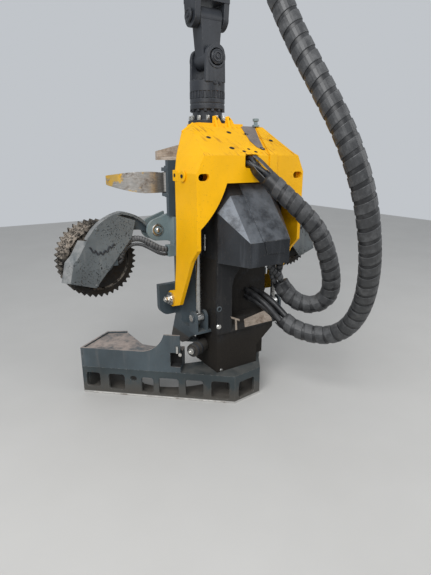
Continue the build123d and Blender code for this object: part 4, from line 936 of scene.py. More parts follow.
class Tree:
    """A tree of geometry nodes with named inputs."""

    def __init__(self, name: str, **inputs: str) -> None:
        """Start a tree.

        Args:
            name: The tree's name.
            **inputs: Its inputs as name=kind, where kind is Int or Float.
        """
        self.tree = bpy.data.node_groups.new(name, "GeometryNodeTree")
        self.keys: dict[str, str] = {}
        for label, kind in {**inputs, "finish": "Material"}.items():
            socket = self.tree.interface.new_socket(
                label, in_out="INPUT", socket_type=f"NodeSocket{kind}"
            )
            self.keys[label] = socket.identifier
        self.tree.interface.new_socket(
            "Geometry", in_out="OUTPUT", socket_type="NodeSocketGeometry"
        )
        self.start = self.tree.nodes.new("NodeGroupInput")
        self.end = self.tree.nodes.new("NodeGroupOutput")

    def add(self, kind: str, **sockets: object) -> bpy.types.Node:
        """Add a node and fill its sockets.

        Args:
            kind: The node's type, without its prefix where it is a geometry node.
            **sockets: Values, nodes or input names as text, by socket name with underscores.

        Returns:
            The node.
        """
        node = self.tree.nodes.new(kind if kind.startswith("Shader") else f"GeometryNode{kind}")
        for label, value in sockets.items():
            self.fill(node.inputs[label.replace("_", " ")], value)
        return node

    def fill(self, socket: Socket, value: object) -> None:
        """Link or set one socket.

        Args:
            socket: The socket.
            value: A plain value, a node, or text that names an input of the tree.
        """
        if isinstance(value, str):
            self.tree.links.new(self.start.outputs[value], socket)
        elif isinstance(value, bpy.types.Node):
            self.tree.links.new(value.outputs[0], socket)
        else:
            socket.default_value = value

    def sum(self, way: Sum, first: object, second: object) -> bpy.types.Node:
        """Two numbers combined.

        Args:
            way: How they are combined.
            first: The first number.
            second: The second number.

        Returns:
            The node.
        """
        node = self.add("ShaderNodeMath", Value=first)
        self.fill(node.inputs[1], second)
        node.operation = way.value
        return node

    def close(self, geometry: bpy.types.Node) -> None:
        """End the tree in Realize Instances and Set Material.

        Args:
            geometry: The node whose result it is.
        """
        real = self.add("RealizeInstances", Geometry=geometry)
        painted = self.add("SetMaterial", Geometry=real, Material="finish")
        self.tree.links.new(painted.outputs[0], self.end.inputs[0])

    def bake(self, name: str, place: Matrix, finish: Finish, **values: float) -> bpy.types.Mesh:
        """The tree's result as a plain mesh.

        Args:
            name: The mesh's name.
            place: Where the tree's origin goes.
            finish: The finish that Set Material gets.
            **values: The tree's inputs by name.

        Returns:
            The mesh, in place.
        """
        carrier = bpy.data.objects.new("carrier", bpy.data.meshes.new("carrier"))
        bpy.context.scene.collection.objects.link(carrier)
        modifier = carrier.modifiers.new("rule", "NODES")
        modifier.node_group = self.tree
        for label, value in values.items():
            modifier[self.keys[label]] = value
        modifier[self.keys["finish"]] = Shelf.take(finish)
        depsgraph = bpy.context.evaluated_depsgraph_get()
        data = bpy.data.meshes.new_from_object(carrier.evaluated_get(depsgraph))
        data.name = name
        carrier.modifiers.remove(modifier)
        bpy.data.objects.remove(carrier)
        data.transform(place)
        return data


def bolt_ring_tree() -> Tree:
    """Hexagon bolts with washers, evenly round a circle in the XY plane, heads up.

    Returns:
        The tree.
    """
    washer_thick, washer_faces = 0.003, 20
    tree = Tree(
        "bolt_ring", count="Int", ring="Float", head="Float", height="Float", washer="Float"
    )
    circle = tree.add("MeshCircle", Vertices="count", Radius="ring")
    both = tree.add("JoinGeometry")
    for faces, radius, depth in (
        (HEXAGON, "head", "height"), (washer_faces, "washer", washer_thick),
    ):
        part = tree.add("MeshCylinder", Vertices=faces, Radius=radius, Depth=depth)
        tree.fill(both.inputs[0], part)
    tree.close(tree.add("InstanceOnPoints", Points=circle, Instance=both))
    return tree


def stud_drum_tree() -> Tree:
    """Rows of pointed studs round a drum whose axis is Z.

    Returns:
        The tree.
    """
    stud_sides, tip = 4, 0.0035
    tree = Tree(
        "stud_drum", rows="Int", studs="Int", radius="Float", width="Float", base="Float",
        reach="Float",
    )
    stud = tree.add(
        "MeshCone", Vertices=stud_sides, Radius_Top=tip, Radius_Bottom="base", Depth="reach"
    )
    lean = tree.add("Transform", Geometry=stud, Rotation=(0.0, math.pi / 2, 0.0))
    out = tree.add("ShaderNodeCombineXYZ", X="radius")
    moved = tree.add("Transform", Geometry=lean, Translation=out)
    rise = tree.add("ShaderNodeCombineXYZ", Z=tree.sum(Sum.SHARED, "width", "studs"))
    line = tree.add("MeshLine", Count="studs", Offset=rise)
    row = tree.add(
        "RealizeInstances", Geometry=tree.add("InstanceOnPoints", Points=line, Instance=moved)
    )
    spots = tree.add("MeshLine", Count="rows", Offset=(0.0, 0.0, 0.0))
    turn = tree.sum(Sum.SHARED, tree.add("InputIndex"), "rows")
    spin = tree.add("ShaderNodeCombineXYZ", Z=tree.sum(Sum.TIMES, turn, math.tau))
    tree.close(tree.add("InstanceOnPoints", Points=spots, Instance=row, Rotation=spin))
    return tree


def rib_ring_tree() -> Tree:
    """Upright ribs, evenly round a circle in the XY plane.

    Returns:
        The tree.
    """
    rib_faces = 8
    tree = Tree("rib_ring", count="Int", ring="Float", wide="Float", tall="Float")
    circle = tree.add("MeshCircle", Vertices="count", Radius="ring")
    rib = tree.add("MeshCylinder", Vertices=rib_faces, Radius="wide", Depth="tall")
    tree.close(tree.add("InstanceOnPoints", Points=circle, Instance=rib))
    return tree


BOLT_RING = bolt_ring_tree()
STUD_DRUM = stud_drum_tree()
RIB_RING = rib_ring_tree()


# Camera, light and floor


@dataclass(frozen=True)
class Lamp:
    """One large soft lamp."""

    name: str
    place: Point
    power: float
    size: float


@dataclass
class Studio:
    """The photograph's camera, a pale floor and soft light."""

    eye: Point = (-1.635, -2.189, 1.6)
    look: Spot = (0.533, 0.846)
    pitch: float = 17.0
    lens: float = 27.05
    sensor: float = 36.0
    near: float = 0.05
    lamps: tuple[Lamp, ...] = (
        Lamp("key", (-3.4, -2.6, 4.6), 230.0, 3.2), Lamp("fill", (3.6, -3.2, 3.0), 70.0, 3.0),
    )
    lit: Point = (0, 0.2, 1.0)
    sky: Colour = (0.86, 0.9, 0.95)
    sky_strength: float = 0.62
    floor_half: float = 9.0
    floor_shades: tuple[Colour, Colour] = ((0.5, 0.49, 0.47), (0.56, 0.55, 0.53))
    floor_rough: float = 0.85

    def camera(self) -> None:
        """Place the camera and make it the scene's."""
        data = bpy.data.cameras.new("photo_camera")
        data.sensor_fit = "VERTICAL"
        data.sensor_height = self.sensor
        data.lens = self.lens
        data.clip_start = self.near
        camera = bpy.data.objects.new("photo_camera", data)
        bpy.context.scene.collection.objects.link(camera)
        ahead = Vector((*self.look, -math.tan(math.radians(self.pitch))))
        camera.location = self.eye
        camera.rotation_euler = ahead.to_track_quat("-Z", "Y").to_euler()
        bpy.context.scene.camera = camera

    def lights(self) -> None:
        """Sky light and two large soft lamps, with colours shown as they are."""
        bpy.context.scene.view_settings.view_transform = "Standard"
        world = bpy.data.worlds.new("studio_sky")
        world.use_nodes = True
        sky = world.node_tree.nodes["Background"]
        sky.inputs["Color"].default_value = (*self.sky, 1)
        sky.inputs["Strength"].default_value = self.sky_strength
        bpy.context.scene.world = world
        for lamp in self.lamps:
            data = bpy.data.lights.new(lamp.name, "AREA")
            data.energy = lamp.power
            data.size = lamp.size
            light = bpy.data.objects.new(lamp.name, data)
            light.location = lamp.place
            way = Vector(self.lit) - Vector(lamp.place)
            light.rotation_euler = way.to_track_quat("-Z", "Y").to_euler()
            bpy.context.scene.collection.objects.link(light)

    def floor(self) -> None:
        """The pale floor, which isn't part of the object."""
        recipe = Recipe("floor_pale")
        shade = recipe.blend(recipe.noise(scale=1.5, detail=3), *self.floor_shades)
        corners = ((-1, -1, 0), (1, -1, 0), (1, 1, 0), (-1, 1, 0))
        points = [Vector(p) * self.floor_half for p in corners]
        data = mesh_from("floor", points, [(0, 1, 2, 3)])
        data.materials.append(recipe.finish(shade, self.floor_rough))
        plane = bpy.data.objects.new("floor", data)
        bpy.context.scene.collection.objects.link(plane)


# Hoses


def nurbs(name: str, route: Route, diameter: float) -> bpy.types.Curve:
    """A round hose on a smooth line.

    Args:
        name: The curve's name.
        route: The line's control points.
        diameter: The hose's thickness.

    Returns:
        The curve.
    """
    data = bpy.data.curves.new(name, "CURVE")
    data.dimensions = "3D"
    spline = data.splines.new("NURBS")
    spline.points.add(len(route) - 1)
    for point, place in zip(spline.points, route):
        point.co = (*place, 1.0)
    spline.order_u = 3
    spline.use_endpoint_u = True
    data.resolution_u = 12
    data.bevel_depth = diameter / 2
    data.bevel_resolution = 7
    data.use_fill_caps = True
    return data


def curve_mesh(name: str, data: bpy.types.Curve) -> bpy.types.Mesh:
    """A curve as Blender makes it a mesh.

    Args:
        name: The mesh's name.
        data: The curve.

    Returns:
        The mesh.
    """
    carrier = bpy.data.objects.new("curve_carrier", data)
    bpy.context.scene.collection.objects.link(carrier)
    depsgraph = bpy.context.evaluated_depsgraph_get()
    mesh = bpy.data.meshes.new_from_object(carrier.evaluated_get(depsgraph))
    mesh.name = name
    bpy.data.objects.remove(carrier)
    return mesh


def centreline(data: bpy.types.Curve) -> list[Vector]:
    """The points of a hose's smooth line, read from its spline.

    Args:
        data: The hose's curve.

    Returns:
        The points.
    """
    bare = data.copy()
    bare.bevel_depth = 0.0
    mesh = curve_mesh("centreline", bare)
    points = [v.co.copy() for v in mesh.vertices]
    bpy.data.meshes.remove(mesh)
    return points


def tube_mesh(name: str, data: bpy.types.Curve) -> bpy.types.Mesh:
    """A hose's round tube as a closed mesh.

    Args:
        name: The mesh's name.
        data: The hose's curve.

    Returns:
        The mesh.
    """
    mesh = curve_mesh(name, data)
    with editing(mesh) as work:
        bmesh.ops.remove_doubles(work, verts=work.verts, dist=MERGE)
    return mesh


def walk(points: list[Vector], step: float, skip: Spot = (0.0, 0.0)) -> list[Heading]:
    """Places and directions every step along a line.

    Args:
        points: The line.
        step: About how far the places are apart.
        skip: The length left out at each end.

    Returns:
        The places and directions.
    """
    lengths = [0.0]
    for before, after in zip(points, points[1:]):
        lengths.append(lengths[-1] + (after - before).length)
    total = lengths[-1] - skip[0] - skip[1]
    count = max(2, round(total / step))
    result = []
    index = 0
    for number in range(count + 1):
        target = skip[0] + total * number / count
        while index < len(points) - 2 and lengths[index + 1] < target:
            index += 1
        run = points[index + 1] - points[index]
        share = (target - lengths[index]) / max(run.length, 1e-9)
        result.append((points[index] + run * share, run.normalized()))
    return result


def carried_frames(places: list[Heading]) -> list[tuple[Vector, Vector, Vector, Vector]]:
    """Directions across a line that turn as little as they can.

    Args:
        places: Places and directions along the line.

    Returns:
        Each place, its direction and two directions across it.
    """
    side = places[0][1].orthogonal().normalized()
    frames = []
    for place, along in places:
        side = (side - along * side.dot(along)).normalized()
        frames.append((place, along, side, along.cross(side)))
    return frames


@dataclass(frozen=True)
class Wrap:
    """A spiral guard: its finish, its band's pitch, width and thickness, and the bare ends."""

    finish: Finish
    pitch: float
    band: float
    thick: float
    bare: Spot
    per_turn: int = 26
    section: Profile = (
        (-0.5, 0.0), (-0.49, 0.8), (-0.44, 1.0), (0.44, 1.0), (0.49, 0.8), (0.5, 0.0),
    )

    def wind(self, name: str, line: list[Vector], radius: float) -> bpy.types.Mesh:
        """A flat band wound round a line, with rounded edges and closed ends.

        Args:
            name: The mesh's name.
            line: The hose's centreline.
            radius: The band's inner radius.

        Returns:
            The mesh.
        """
        frames = carried_frames(walk(line, self.pitch / self.per_turn, self.bare))
        points: list[Vector] = []
        for number, (place, along, side, other) in enumerate(frames):
            angle = math.tau * number / self.per_turn
            out = side * math.cos(angle) + other * math.sin(angle)
            for across, up in self.section:
                rise = out * (radius + self.thick * up)
                points.append(place + along * (across * self.band) + rise)
        return loft(name, points, len(self.section))


def tube_along(name: str, places: list[Vector], radius: float, sides: int) -> bpy.types.Mesh:
    """A round closed tube along a line of places.

    Args:
        name: The mesh's name.
        places: The line, close enough together to look smooth.
        radius: The tube's radius.
        sides: Faces round it.

    Returns:
        The mesh.
    """
    last = len(places) - 1
    runs = [
        (places[min(i + 1, last)] - places[max(i - 1, 0)]).normalized() for i in range(len(places))
    ]
    points: list[Vector] = []
    for place, _, side, other in carried_frames(list(zip(places, runs))):
        for step in range(sides):
            angle = math.tau * step / sides
            points.append(place + (side * math.cos(angle) + other * math.sin(angle)) * radius)
    return loft(name, points, sides)


@dataclass
class Hose:
    """One free hose: its route, thickness and ends, and the spiral guard round it."""

    name: str
    node: str
    route: Route
    diameter: float
    length: float
    body: Bend
    wrap: Wrap
    far_end: str = "object"
    extras: tuple[bpy.types.Object, ...] = ()
    open_root: float = 0.0
    tight: float = 0.0005
    step: float = 0.01
    tube_sides: int = 20
    strands: int = 4
    strand_sides: int = 12
    strand_twist: float = 0.025
    strand_out: float = 0.31
    strand_radius: float = 0.185

    def mesh(self, curve: bpy.types.Curve, line: list[Vector]) -> bpy.types.Mesh:
        """The round tube, or with an open root its separate hoses there and the tube beyond.

        Args:
            curve: The hose's curve.
            line: Its centreline.

        Returns:
            The mesh.
        """
        if self.open_root == 0:
            return tube_mesh(self.name, curve)
        places = walk(line, self.step)
        first = round(self.open_root / self.step)
        rest = [place for place, _ in places[first - 2:]]
        parts = [tube_along("bundle", rest, self.diameter / 2, self.tube_sides)]
        frames = carried_frames(places[:first + 3])
        for strand in range(self.strands):
            points = []
            for number, (place, _, side, other) in enumerate(frames):
                angle = math.tau * strand / self.strands + self.strand_twist * number
                out = side * math.cos(angle) + other * math.sin(angle)
                points.append(place + out * self.diameter * self.strand_out)
            radius = self.diameter * self.strand_radius
            parts.append(tube_along("strand", points, radius, self.strand_sides))
        return joined(self.name, parts)

    def build(self) -> None:
        curve = nurbs(self.name, self.route, self.diameter)
        line = centreline(curve)
        tube = add_piece(
            self.mesh(curve, line), Shelf.hose, self.body, (self.node,), smooth=True
        )
        wound = self.wrap.wind(self.name + "_guard", line, self.diameter / 2 - self.tight)
        guard = add_piece(wound, self.wrap.finish, self.body)


@dataclass(frozen=True)
class MotorHose:
    """One hose of a roller's motor, with its route on the left."""

    name: str
    route: Route
    diameter: float
    pitch: float
    guard: Finish


class Root(Enum):
    """What the first end of a short hose carries."""

    WOUND = "a spiral guard"
    CRIMPED = "a crimped sleeve"


@dataclass
class HoseLoom:
    """All the hoses: two guarded bundles, the short hoses at their ends and the motors' hoses."""

    tilt_route: Route = (
        (0.19, -0.095, 0.8), (0.212, -0.12, 0.742), (0.262, -0.178, 0.672), (0.345, -0.262, 0.652),
        (0.408, -0.33, 0.728), (0.378, -0.368, 0.86), (0.318, -0.372, 1.02), (0.262, -0.342, 1.165),
        (0.18, -0.275, 1.282), (0.098, -0.19, 1.385), (0.042, -0.11, 1.47),
    )
    tilt_bend: Bend = Bend("frame", "tilt", (0.36, -0.3, 0.76), (0.12, -0.3, 1.4))
    tilt_wrap: Wrap = Wrap(Shelf.guard, 0.069, 0.049, 0.0045, (0.03, 0.05))
    tilt_length: float = 1.3
    crane_route: Route = (
        (0.098, 0.1297, 0.684), (0.098, 0.012, 0.684), (0.128, -0.07, 0.64), (0.162, -0.125, 0.588),
        (0.19, -0.205, 0.528), (0.252, -0.305, 0.494), (0.33, -0.425, 0.5), (0.37, -0.54, 0.59),
        (0.342, -0.65, 0.77), (0.245, -0.748, 1.0), (0.15, -0.795, 1.23), (0.075, -0.79, 1.455),
        (0.012, -0.722, 1.68), (-0.045, -0.62, 1.875), (-0.086, -0.516, 2.045),
        (-0.112, -0.424, 2.198), (-0.142, -0.37, 2.322), (-0.198, -0.335, 2.42),
    )
    crane_bend: Bend = Bend("frame", "tilt", (0.34, -0.46, 0.53), (0.3, -0.7, 0.9))
    crane_wrap: Wrap = Wrap(Shelf.guard, 0.071, 0.05, 0.0045, (0.34, 0.05))
    crane_length: float = 2.88
    crane_root: float = 0.36
    bundle: float = 0.108
    tails: tuple[Route, ...] = (
        ((0.112, -0.062, 0.9627), (0.112, -0.062, 0.906), (0.1639, -0.0965, 0.8622),
         (0.1842, -0.1195, 0.8087)),
        ((0.164, -0.042, 0.9627), (0.164, -0.042, 0.906), (0.1488, -0.0545, 0.8384),
         (0.1691, -0.0775, 0.7849)),
        ((0.176, -0.104, 0.9627), (0.176, -0.104, 0.906), (0.1942, -0.0574, 0.8569),
         (0.2145, -0.0805, 0.8034)),
    )
    hood_hoses: tuple[Route, ...] = (
        ((0.0347, -0.1297, 1.4841), (0.0149, -0.1014, 1.5141), (-0.046, -0.036, 1.558),
         (-0.046, 0.0237, 1.558)),
        ((0.022, -0.1061, 1.4537), (0.0023, -0.0779, 1.4837), (-0.012, -0.036, 1.584),
         (-0.012, 0.0237, 1.584)),
        ((0.0599, -0.0922, 1.4655), (0.0401, -0.064, 1.4955), (0.014, -0.036, 1.559),
         (0.014, 0.0237, 1.559)),
    )
    short_bore: float = 0.032
    short_wrap: Wrap = Wrap(Shelf.guard, 0.026, 0.021, 0.0045, (0.0, 0.02))
    short_wrap_radius: float = 0.0175
    sleeve_radius: float = 0.0155
    motor_hoses: tuple[MotorHose, ...] = (
        MotorHose("upper", (
            (-0.4073, 0.362, 1.007), (-0.445, 0.362, 1.007), (-0.507, 0.406, 1.049),
            (-0.5513, 0.462, 1.0789), (-0.6133, 0.485, 1.0749), (-0.6673, 0.484, 1.0309),
            (-0.679, 0.484, 0.962), (-0.7107, 0.484, 0.962),
        ), 0.036, 0.019, Shelf.sleeve),
        MotorHose("lower", (
            (-0.4073, 0.362, 0.972), (-0.445, 0.362, 0.972), (-0.507, 0.406, 1.014),
            (-0.5513, 0.462, 1.0409), (-0.6133, 0.485, 1.0369), (-0.6673, 0.484, 0.9929),
            (-0.679, 0.484, 0.928), (-0.7107, 0.484, 0.928),
        ), 0.018, 0.011, Shelf.guard),
    )
    motor_length: float = 0.41
    motor_band: float = 0.7
    motor_start: Point = (0.445, 0.362, 1.0)
    motor_end: Point = (0.68, 0.484, 1.0)
    collar: Profile = ((0.048, -0.03), (0.056, -0.028), (0.056, 0.004), (0.05, 0.008))
    couplings_tall: float = 0.25
    nipples: int = 3
    nipple_ring: float = 0.026

    def crimp(self, name: str, line: list[Vector], body: str) -> None:
        """A ribbed sleeve crimped on a hose's first end.

        Args:
            name: The piece's name.
            line: The hose's centreline.
            body: The body that it rides on.
        """
        radius = self.sleeve_radius
        profile = [(radius * 0.8, 0.0), (radius * 1.18, 0.001)]
        for ring in range(4):
            low = 0.003 + ring * 0.007
            profile += [
                (radius * 1.25, low), (radius * 1.25, low + 0.004), (radius * 1.16, low + 0.0055)
            ]
        profile += [(radius * 1.1, 0.034), (radius * 0.8, 0.035)]
        place = aim(tuple(line[0]), tuple((line[2] - line[0]).normalized()))
        add_piece(turned(name, tuple(profile), place, 24), Shelf.cast, body)

    def short(self, name: str, node: str, route: Route, body: str, root: Root) -> None:
        """A hose too short to hang freely.

        Args:
            name: The piece's name.
            node: The CAD node that it stands for.
            route: Its line's control points.
            body: The body that it rides on.
            root: What its first end carries.
        """
        curve = nurbs(name, route, self.short_bore)
        line = centreline(curve)
        add_piece(tube_mesh(name, curve), Shelf.hose, body, (node,), smooth=True)
        if root is Root.WOUND:
            guard = self.short_wrap.wind(name + "_guard", line, self.short_wrap_radius)
            add_piece(guard, self.short_wrap.finish, body)
        else:
            self.crimp(name + "_sleeve", line, body)

    def couplings(self) -> bpy.types.Object:
        """The couplings at the crane bundle's far end: a collar, hose nipples and their nuts.

        Returns:
            The piece.
        """
        low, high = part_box("bundle_couplings")
        end = Vector(self.crane_route[-1])
        along = (end - Vector(self.crane_route[-2])).normalized()
        tall = max(0.05, (min(high.z, low.z + self.couplings_tall) - end.z) * 0.9)
        place = aim(tuple(end), tuple(along))
        parts = [turned("collar", self.collar, place, 48)]
        nipple = (
            (0.012, 0.0), (0.0155, 0.002), (0.0155, tall * 0.45), (0.012, tall * 0.5),
            (0.012, tall * 0.95), (0.009, tall),
        )
        nut = (
            (0.017, tall * 0.5), (0.019, tall * 0.53), (0.019, tall * 0.72), (0.017, tall * 0.75)
        )
        for middle in round_way(Matrix(), self.nipple_ring, self.nipples):
            spot = place @ Matrix.Translation(middle)
            parts.append(turned("nipple", nipple, spot, 24))
            parts.append(turned("nut", nut, spot, HEXAGON))
        data = joined("bundle_couplings_made", parts)
        return add_piece(data, Shelf.fitting, self.crane_bend, ("bundle_couplings",))

    def motor(self, side: str, sign: float) -> None:
        """Both hoses of one roller's motor.

        Args:
            side: The side's name.
            sign: Its direction along X.
        """
        start, end = ((x * sign, y, z) for x, y, z in (self.motor_start, self.motor_end))
        arm = Bend("frame", f"arm_{side}", start, end)
        for hose in self.motor_hoses:
            wrap = Wrap(
                hose.guard, hose.pitch, hose.pitch * self.motor_band, 0.0028, (0.012, 0.012)
            )
            route = tuple((x * -sign, y, z) for x, y, z in hose.route)
            Hose(
                f"motor_hose_{hose.name}_{side}", f"motor_hoses_{side}", route, hose.diameter,
                self.motor_length, arm, wrap,
            ).build()

    def build(self) -> None:
        """Make every hose."""
        Hose(
            "bundle_tilt_hose", "bundle_tilt", self.tilt_route, self.bundle, self.tilt_length,
            self.tilt_bend, self.tilt_wrap,
        ).build()
        Hose(
            "bundle_crane_hose", "bundle_crane", self.crane_route, self.bundle, self.crane_length,
            self.crane_bend, self.crane_wrap, "connector", (self.couplings(),), self.crane_root,
        ).build()
        for number, route in enumerate(self.tails, 1):
            self.short(f"hose_tail_{number}", "hose_tails", route, "frame", Root.WOUND)
        for number, route in enumerate(self.hood_hoses, 1):
            self.short(f"hood_hose_{number}", "hood_hoses", route, "tilt", Root.CRIMPED)
        for side, sign in SIDES:
            self.motor(side, sign)


# Feed rollers


@dataclass
class FeedRoller:
    """A feed roller: drum with end rings, rows of pointed studs and a bolted hub."""

    centre_x: float = 0.815
    centre_z: float = 0.95
    back: float = 0.526
    front: float = 0.676
    drum: float = 0.2285
    drum_faces: int = 88
    rows: int = 40
    studs: int = 6
    stud_base: float = 0.0145
    stud_reach: float = 0.019
    stud_out: float = 0.0055
    rib: float = 0.004

    def profile(self, width: float) -> Profile:
        """The drum's section, the same from both ends.

        Args:
            width: The drum's width.

        Returns:
            Radius and height pairs.
        """
        half = (
            (0.041, 0.004), (0.075, 0.004), (0.078, 0.012), (0.19, 0.014), (0.2, 0.0),
            (self.drum, 0.0), (self.drum + self.rib, 0.006), (self.drum, 0.014),
        )
        return half + tuple((radius, width - height) for radius, height in reversed(half))

    def build(self) -> None:
        """Make both rollers."""
        width = self.front - self.back
        for side, sign in SIDES:
            place = aim((self.centre_x * sign, self.back, self.centre_z), (0, 1, 0))
            drum = turned(f"roller_drum_{side}", self.profile(width), place, self.drum_faces)
            studs = STUD_DRUM.bake(
                f"roller_studs_{side}", raised(place, width / self.studs / 2), Shelf.roller,
                rows=self.rows, studs=self.studs, radius=self.drum + self.stud_out, width=width,
                base=self.stud_base, reach=self.stud_reach,
            )
            both = joined(f"feed_roller_{side}_toothed", [drum, studs])
            body = f"roller_{side}"
            add_piece(both, Shelf.roller, body, (f"feed_roller_{side}",))
            bolts = BOLT_RING.bake(
                f"roller_hub_bolts_{side}", raised(place, width - 0.009), Shelf.fitting,
                count=8, ring=0.096, head=0.009, height=0.014, washer=0.013,
            )
            add_piece(bolts, Shelf.fitting, body)


# Rotator and links


@dataclass
class RotatorTop:
    """The rotator: flange, bolts, ring, ribbed band and the rings on the pins' ends."""

    y: float = 0.51
    faces: int = 72
    flange: Profile = ((0.129, 1.8005), (0.131, 1.8025), (0.131, 1.82), (0.128, 1.824))
    housing: Profile = (
        (0.102, 1.82), (0.1, 1.83), (0.1, 1.884), (0.104, 1.89), (0.114, 1.892), (0.117, 1.896),
        (0.117, 1.92), (0.114, 1.923), (0.114, 1.93), (0.117, 1.933), (0.117, 1.954),
        (0.114, 1.9575),
    )
    head: float = 0.117
    face_bolt: Profile = (
        (0.004, 0.009), (0.008, 0.01), (0.009, 0.005), (0.013, 0.005), (0.014, 0.0),
    )
    face_bolts_x: Spot = (-0.012, 0.028)
    face_bolts_z: float = 2.05
    swing_z: float = 2.2
    swing_cap: Profile = (
        (0.006, 0.01), (0.012, 0.011), (0.014, 0.004), (0.02, 0.003), (0.022, 0.008),
        (0.03, 0.008), (0.032, 0.002), (0.038, 0.004), (0.042, 0.0),
    )
    swing_cap_out: float = 0.129
    swing_rim: Profile = ((0.05, 0.0), (0.052, 0.005), (0.064, 0.005), (0.067, 0.0))
    fork_z: float = 2.44
    fork_cap: Profile = (
        (0.006, 0.012), (0.012, 0.012), (0.014, 0.005), (0.026, 0.005), (0.028, 0.009),
        (0.038, 0.009), (0.042, 0.0),
    )
    fork_cap_out: float = 0.134

    def housing_parts(self, place: Matrix) -> None:
        """The flange on the hood, the housing, its bolts and its ring of knobs.

        Args:
            place: The rotator's axis at the ground.
        """
        flange = turned("rotator_flange", self.flange, place, self.faces)
        add_piece(flange, Shelf.cast, "tilt")
        housing = turned("rotator_housing_turned", self.housing, place, self.faces)
        add_piece(housing, Shelf.cast, "tilt", ("rotator_housing",))
        bolts = BOLT_RING.bake(
            "rotator_flange_bolts", raised(place, 1.836), Shelf.fitting,
            count=12, ring=0.115, head=0.0125, height=0.034, washer=0.0145,
        )
        add_piece(bolts, Shelf.fitting, "tilt")
        knobs = BOLT_RING.bake(
            "rotator_knobs", raised(place, 1.886), Shelf.cast,
            count=14, ring=0.107, head=0.012, height=0.014, washer=0.008,
        )
        add_piece(knobs, Shelf.cast, "tilt")

    def head_parts(self, place: Matrix) -> None:
        """The ribs, bolts and plugs of the turning head.

        Args:
            place: The rotator's axis at the ground.
        """
        ribs = RIB_RING.bake(
            "rotator_ribs", raised(place, 1.981), Shelf.cast,
            count=25, ring=0.1105, wide=0.0078, tall=0.042,
        )
        bolts = BOLT_RING.bake(
            "rotator_head_bolts", raised(place, 2.07), Shelf.cast,
            count=10, ring=0.098, head=0.01, height=0.014, washer=0.013,
        )
        plugs = []
        for x in self.face_bolts_x:
            face = (x, self.y - math.sqrt(self.head ** 2 - x ** 2), self.face_bolts_z)
            plugs.append(turned("face_bolt", self.face_bolt, aim(face, (x, -self.head, 0)), 24))
        head = joined("rotator_head_details", [ribs, bolts, *plugs])
        add_piece(head, Shelf.cast, "rotator")

    def pin_ends(self) -> None:
        """The rings and caps on the ends of the two crossed pins."""
        swing, crane = [], []
        for sign in (-1, 1):
            outer = aim((0, self.y + sign * self.swing_cap_out, self.swing_z), (0, sign, 0))
            swing.append(turned("cap", self.swing_cap, outer, 40))
            face = aim((0, self.y + sign * self.head, self.swing_z), (0, sign, 0))
            swing.append(turned("rim", self.swing_rim, face, 56))
            side = aim((sign * self.fork_cap_out, self.y, self.fork_z), (sign, 0, 0))
            crane.append(turned("cap", self.fork_cap, side, 40))
        add_piece(joined("swing_pin_rings", swing), Shelf.cast, "rotator")
        add_piece(joined("crane_pin_rings", crane), Shelf.cast, "fork")

    def build(self) -> None:
        """Make the rotator's housing and the small parts of its head."""
        place = aim((0, self.y, 0), UP)
        self.housing_parts(place)
        self.head_parts(place)
        self.pin_ends()


# Saw bar


@dataclass
class SawChain:
    """The chain round the saw bar: drive links and cutters in turn."""

    pivot: Spot = (-0.06, 0.062)
    angle: float = 141.3
    reach: float = 0.85
    half: float = 0.048
    level: float = 0.09
    tail: float = 0.06
    tail_narrows: float = 0.012
    pitch: float = 0.0195
    nose_steps: int = 12
    cutter: Point = (0.017, 0.009, 0.0045)
    drive: Point = (0.015, 0.006, 0.0035)
    sunk: float = 0.006

    def path(self) -> list[Vector]:
        """The chain's line round the bar, in the bar's own plane.

        Returns:
            The line's points.
        """
        nose = self.reach - self.half
        root = self.half - self.tail_narrows
        points = [(-self.tail, -root, 0), (nose, -self.half, 0)]
        for step in range(1, self.nose_steps):
            turn = -math.pi / 2 + math.pi * step / self.nose_steps
            points.append((nose + self.half * math.cos(turn), self.half * math.sin(turn), 0))
        return [Vector(p) for p in (*points, (nose, self.half, 0), (-self.tail, root, 0))]

    def link(self, number: int, place: Vector, along: Vector, turn: Matrix) -> bpy.types.Mesh:
        """One link: every second one is a cutter, on the left and on the right in turn.

        Args:
            number: Its number along the chain.
            place: Its place on the path.
            along: The path's direction there.
            turn: The bar's own place.

        Returns:
            The link's mesh.
        """
        out = Vector((along.y, -along.x, 0))
        length, tall, wide = self.cutter if number % 2 else self.drive
        rise = tall if number % 4 == 1 else tall * 0.6
        half, sunk = along * length / 2, out * self.sunk
        corners = (
            place - half - sunk, place + half - sunk, place + half + out * rise,
            place + along * length * 0.1 + out * rise * 0.6, place - half + out * rise * 0.9,
        )
        aside = 0.4 if number % 4 < 2 else -0.4
        lift = Vector((0, 0, wide * aside - wide / 2))
        outline = tuple(tuple(turn @ (corner + lift)) for corner in corners)
        return slab(f"link_{number}", outline, (0, 0, wide), 0.0)

    def build(self) -> None:
        """Make the links along the path."""
        spin = Matrix.Rotation(math.radians(self.angle), 4, "Z")
        turn = Matrix.Translation((*self.pivot, self.level)) @ spin
        places = walk(self.path(), self.pitch, (0.01, 0.01))
        links = [self.link(number, *place, turn) for number, place in enumerate(places)]
        add_piece(joined("saw_chain", links), Shelf.chain, "saw")


# Small parts of the frame


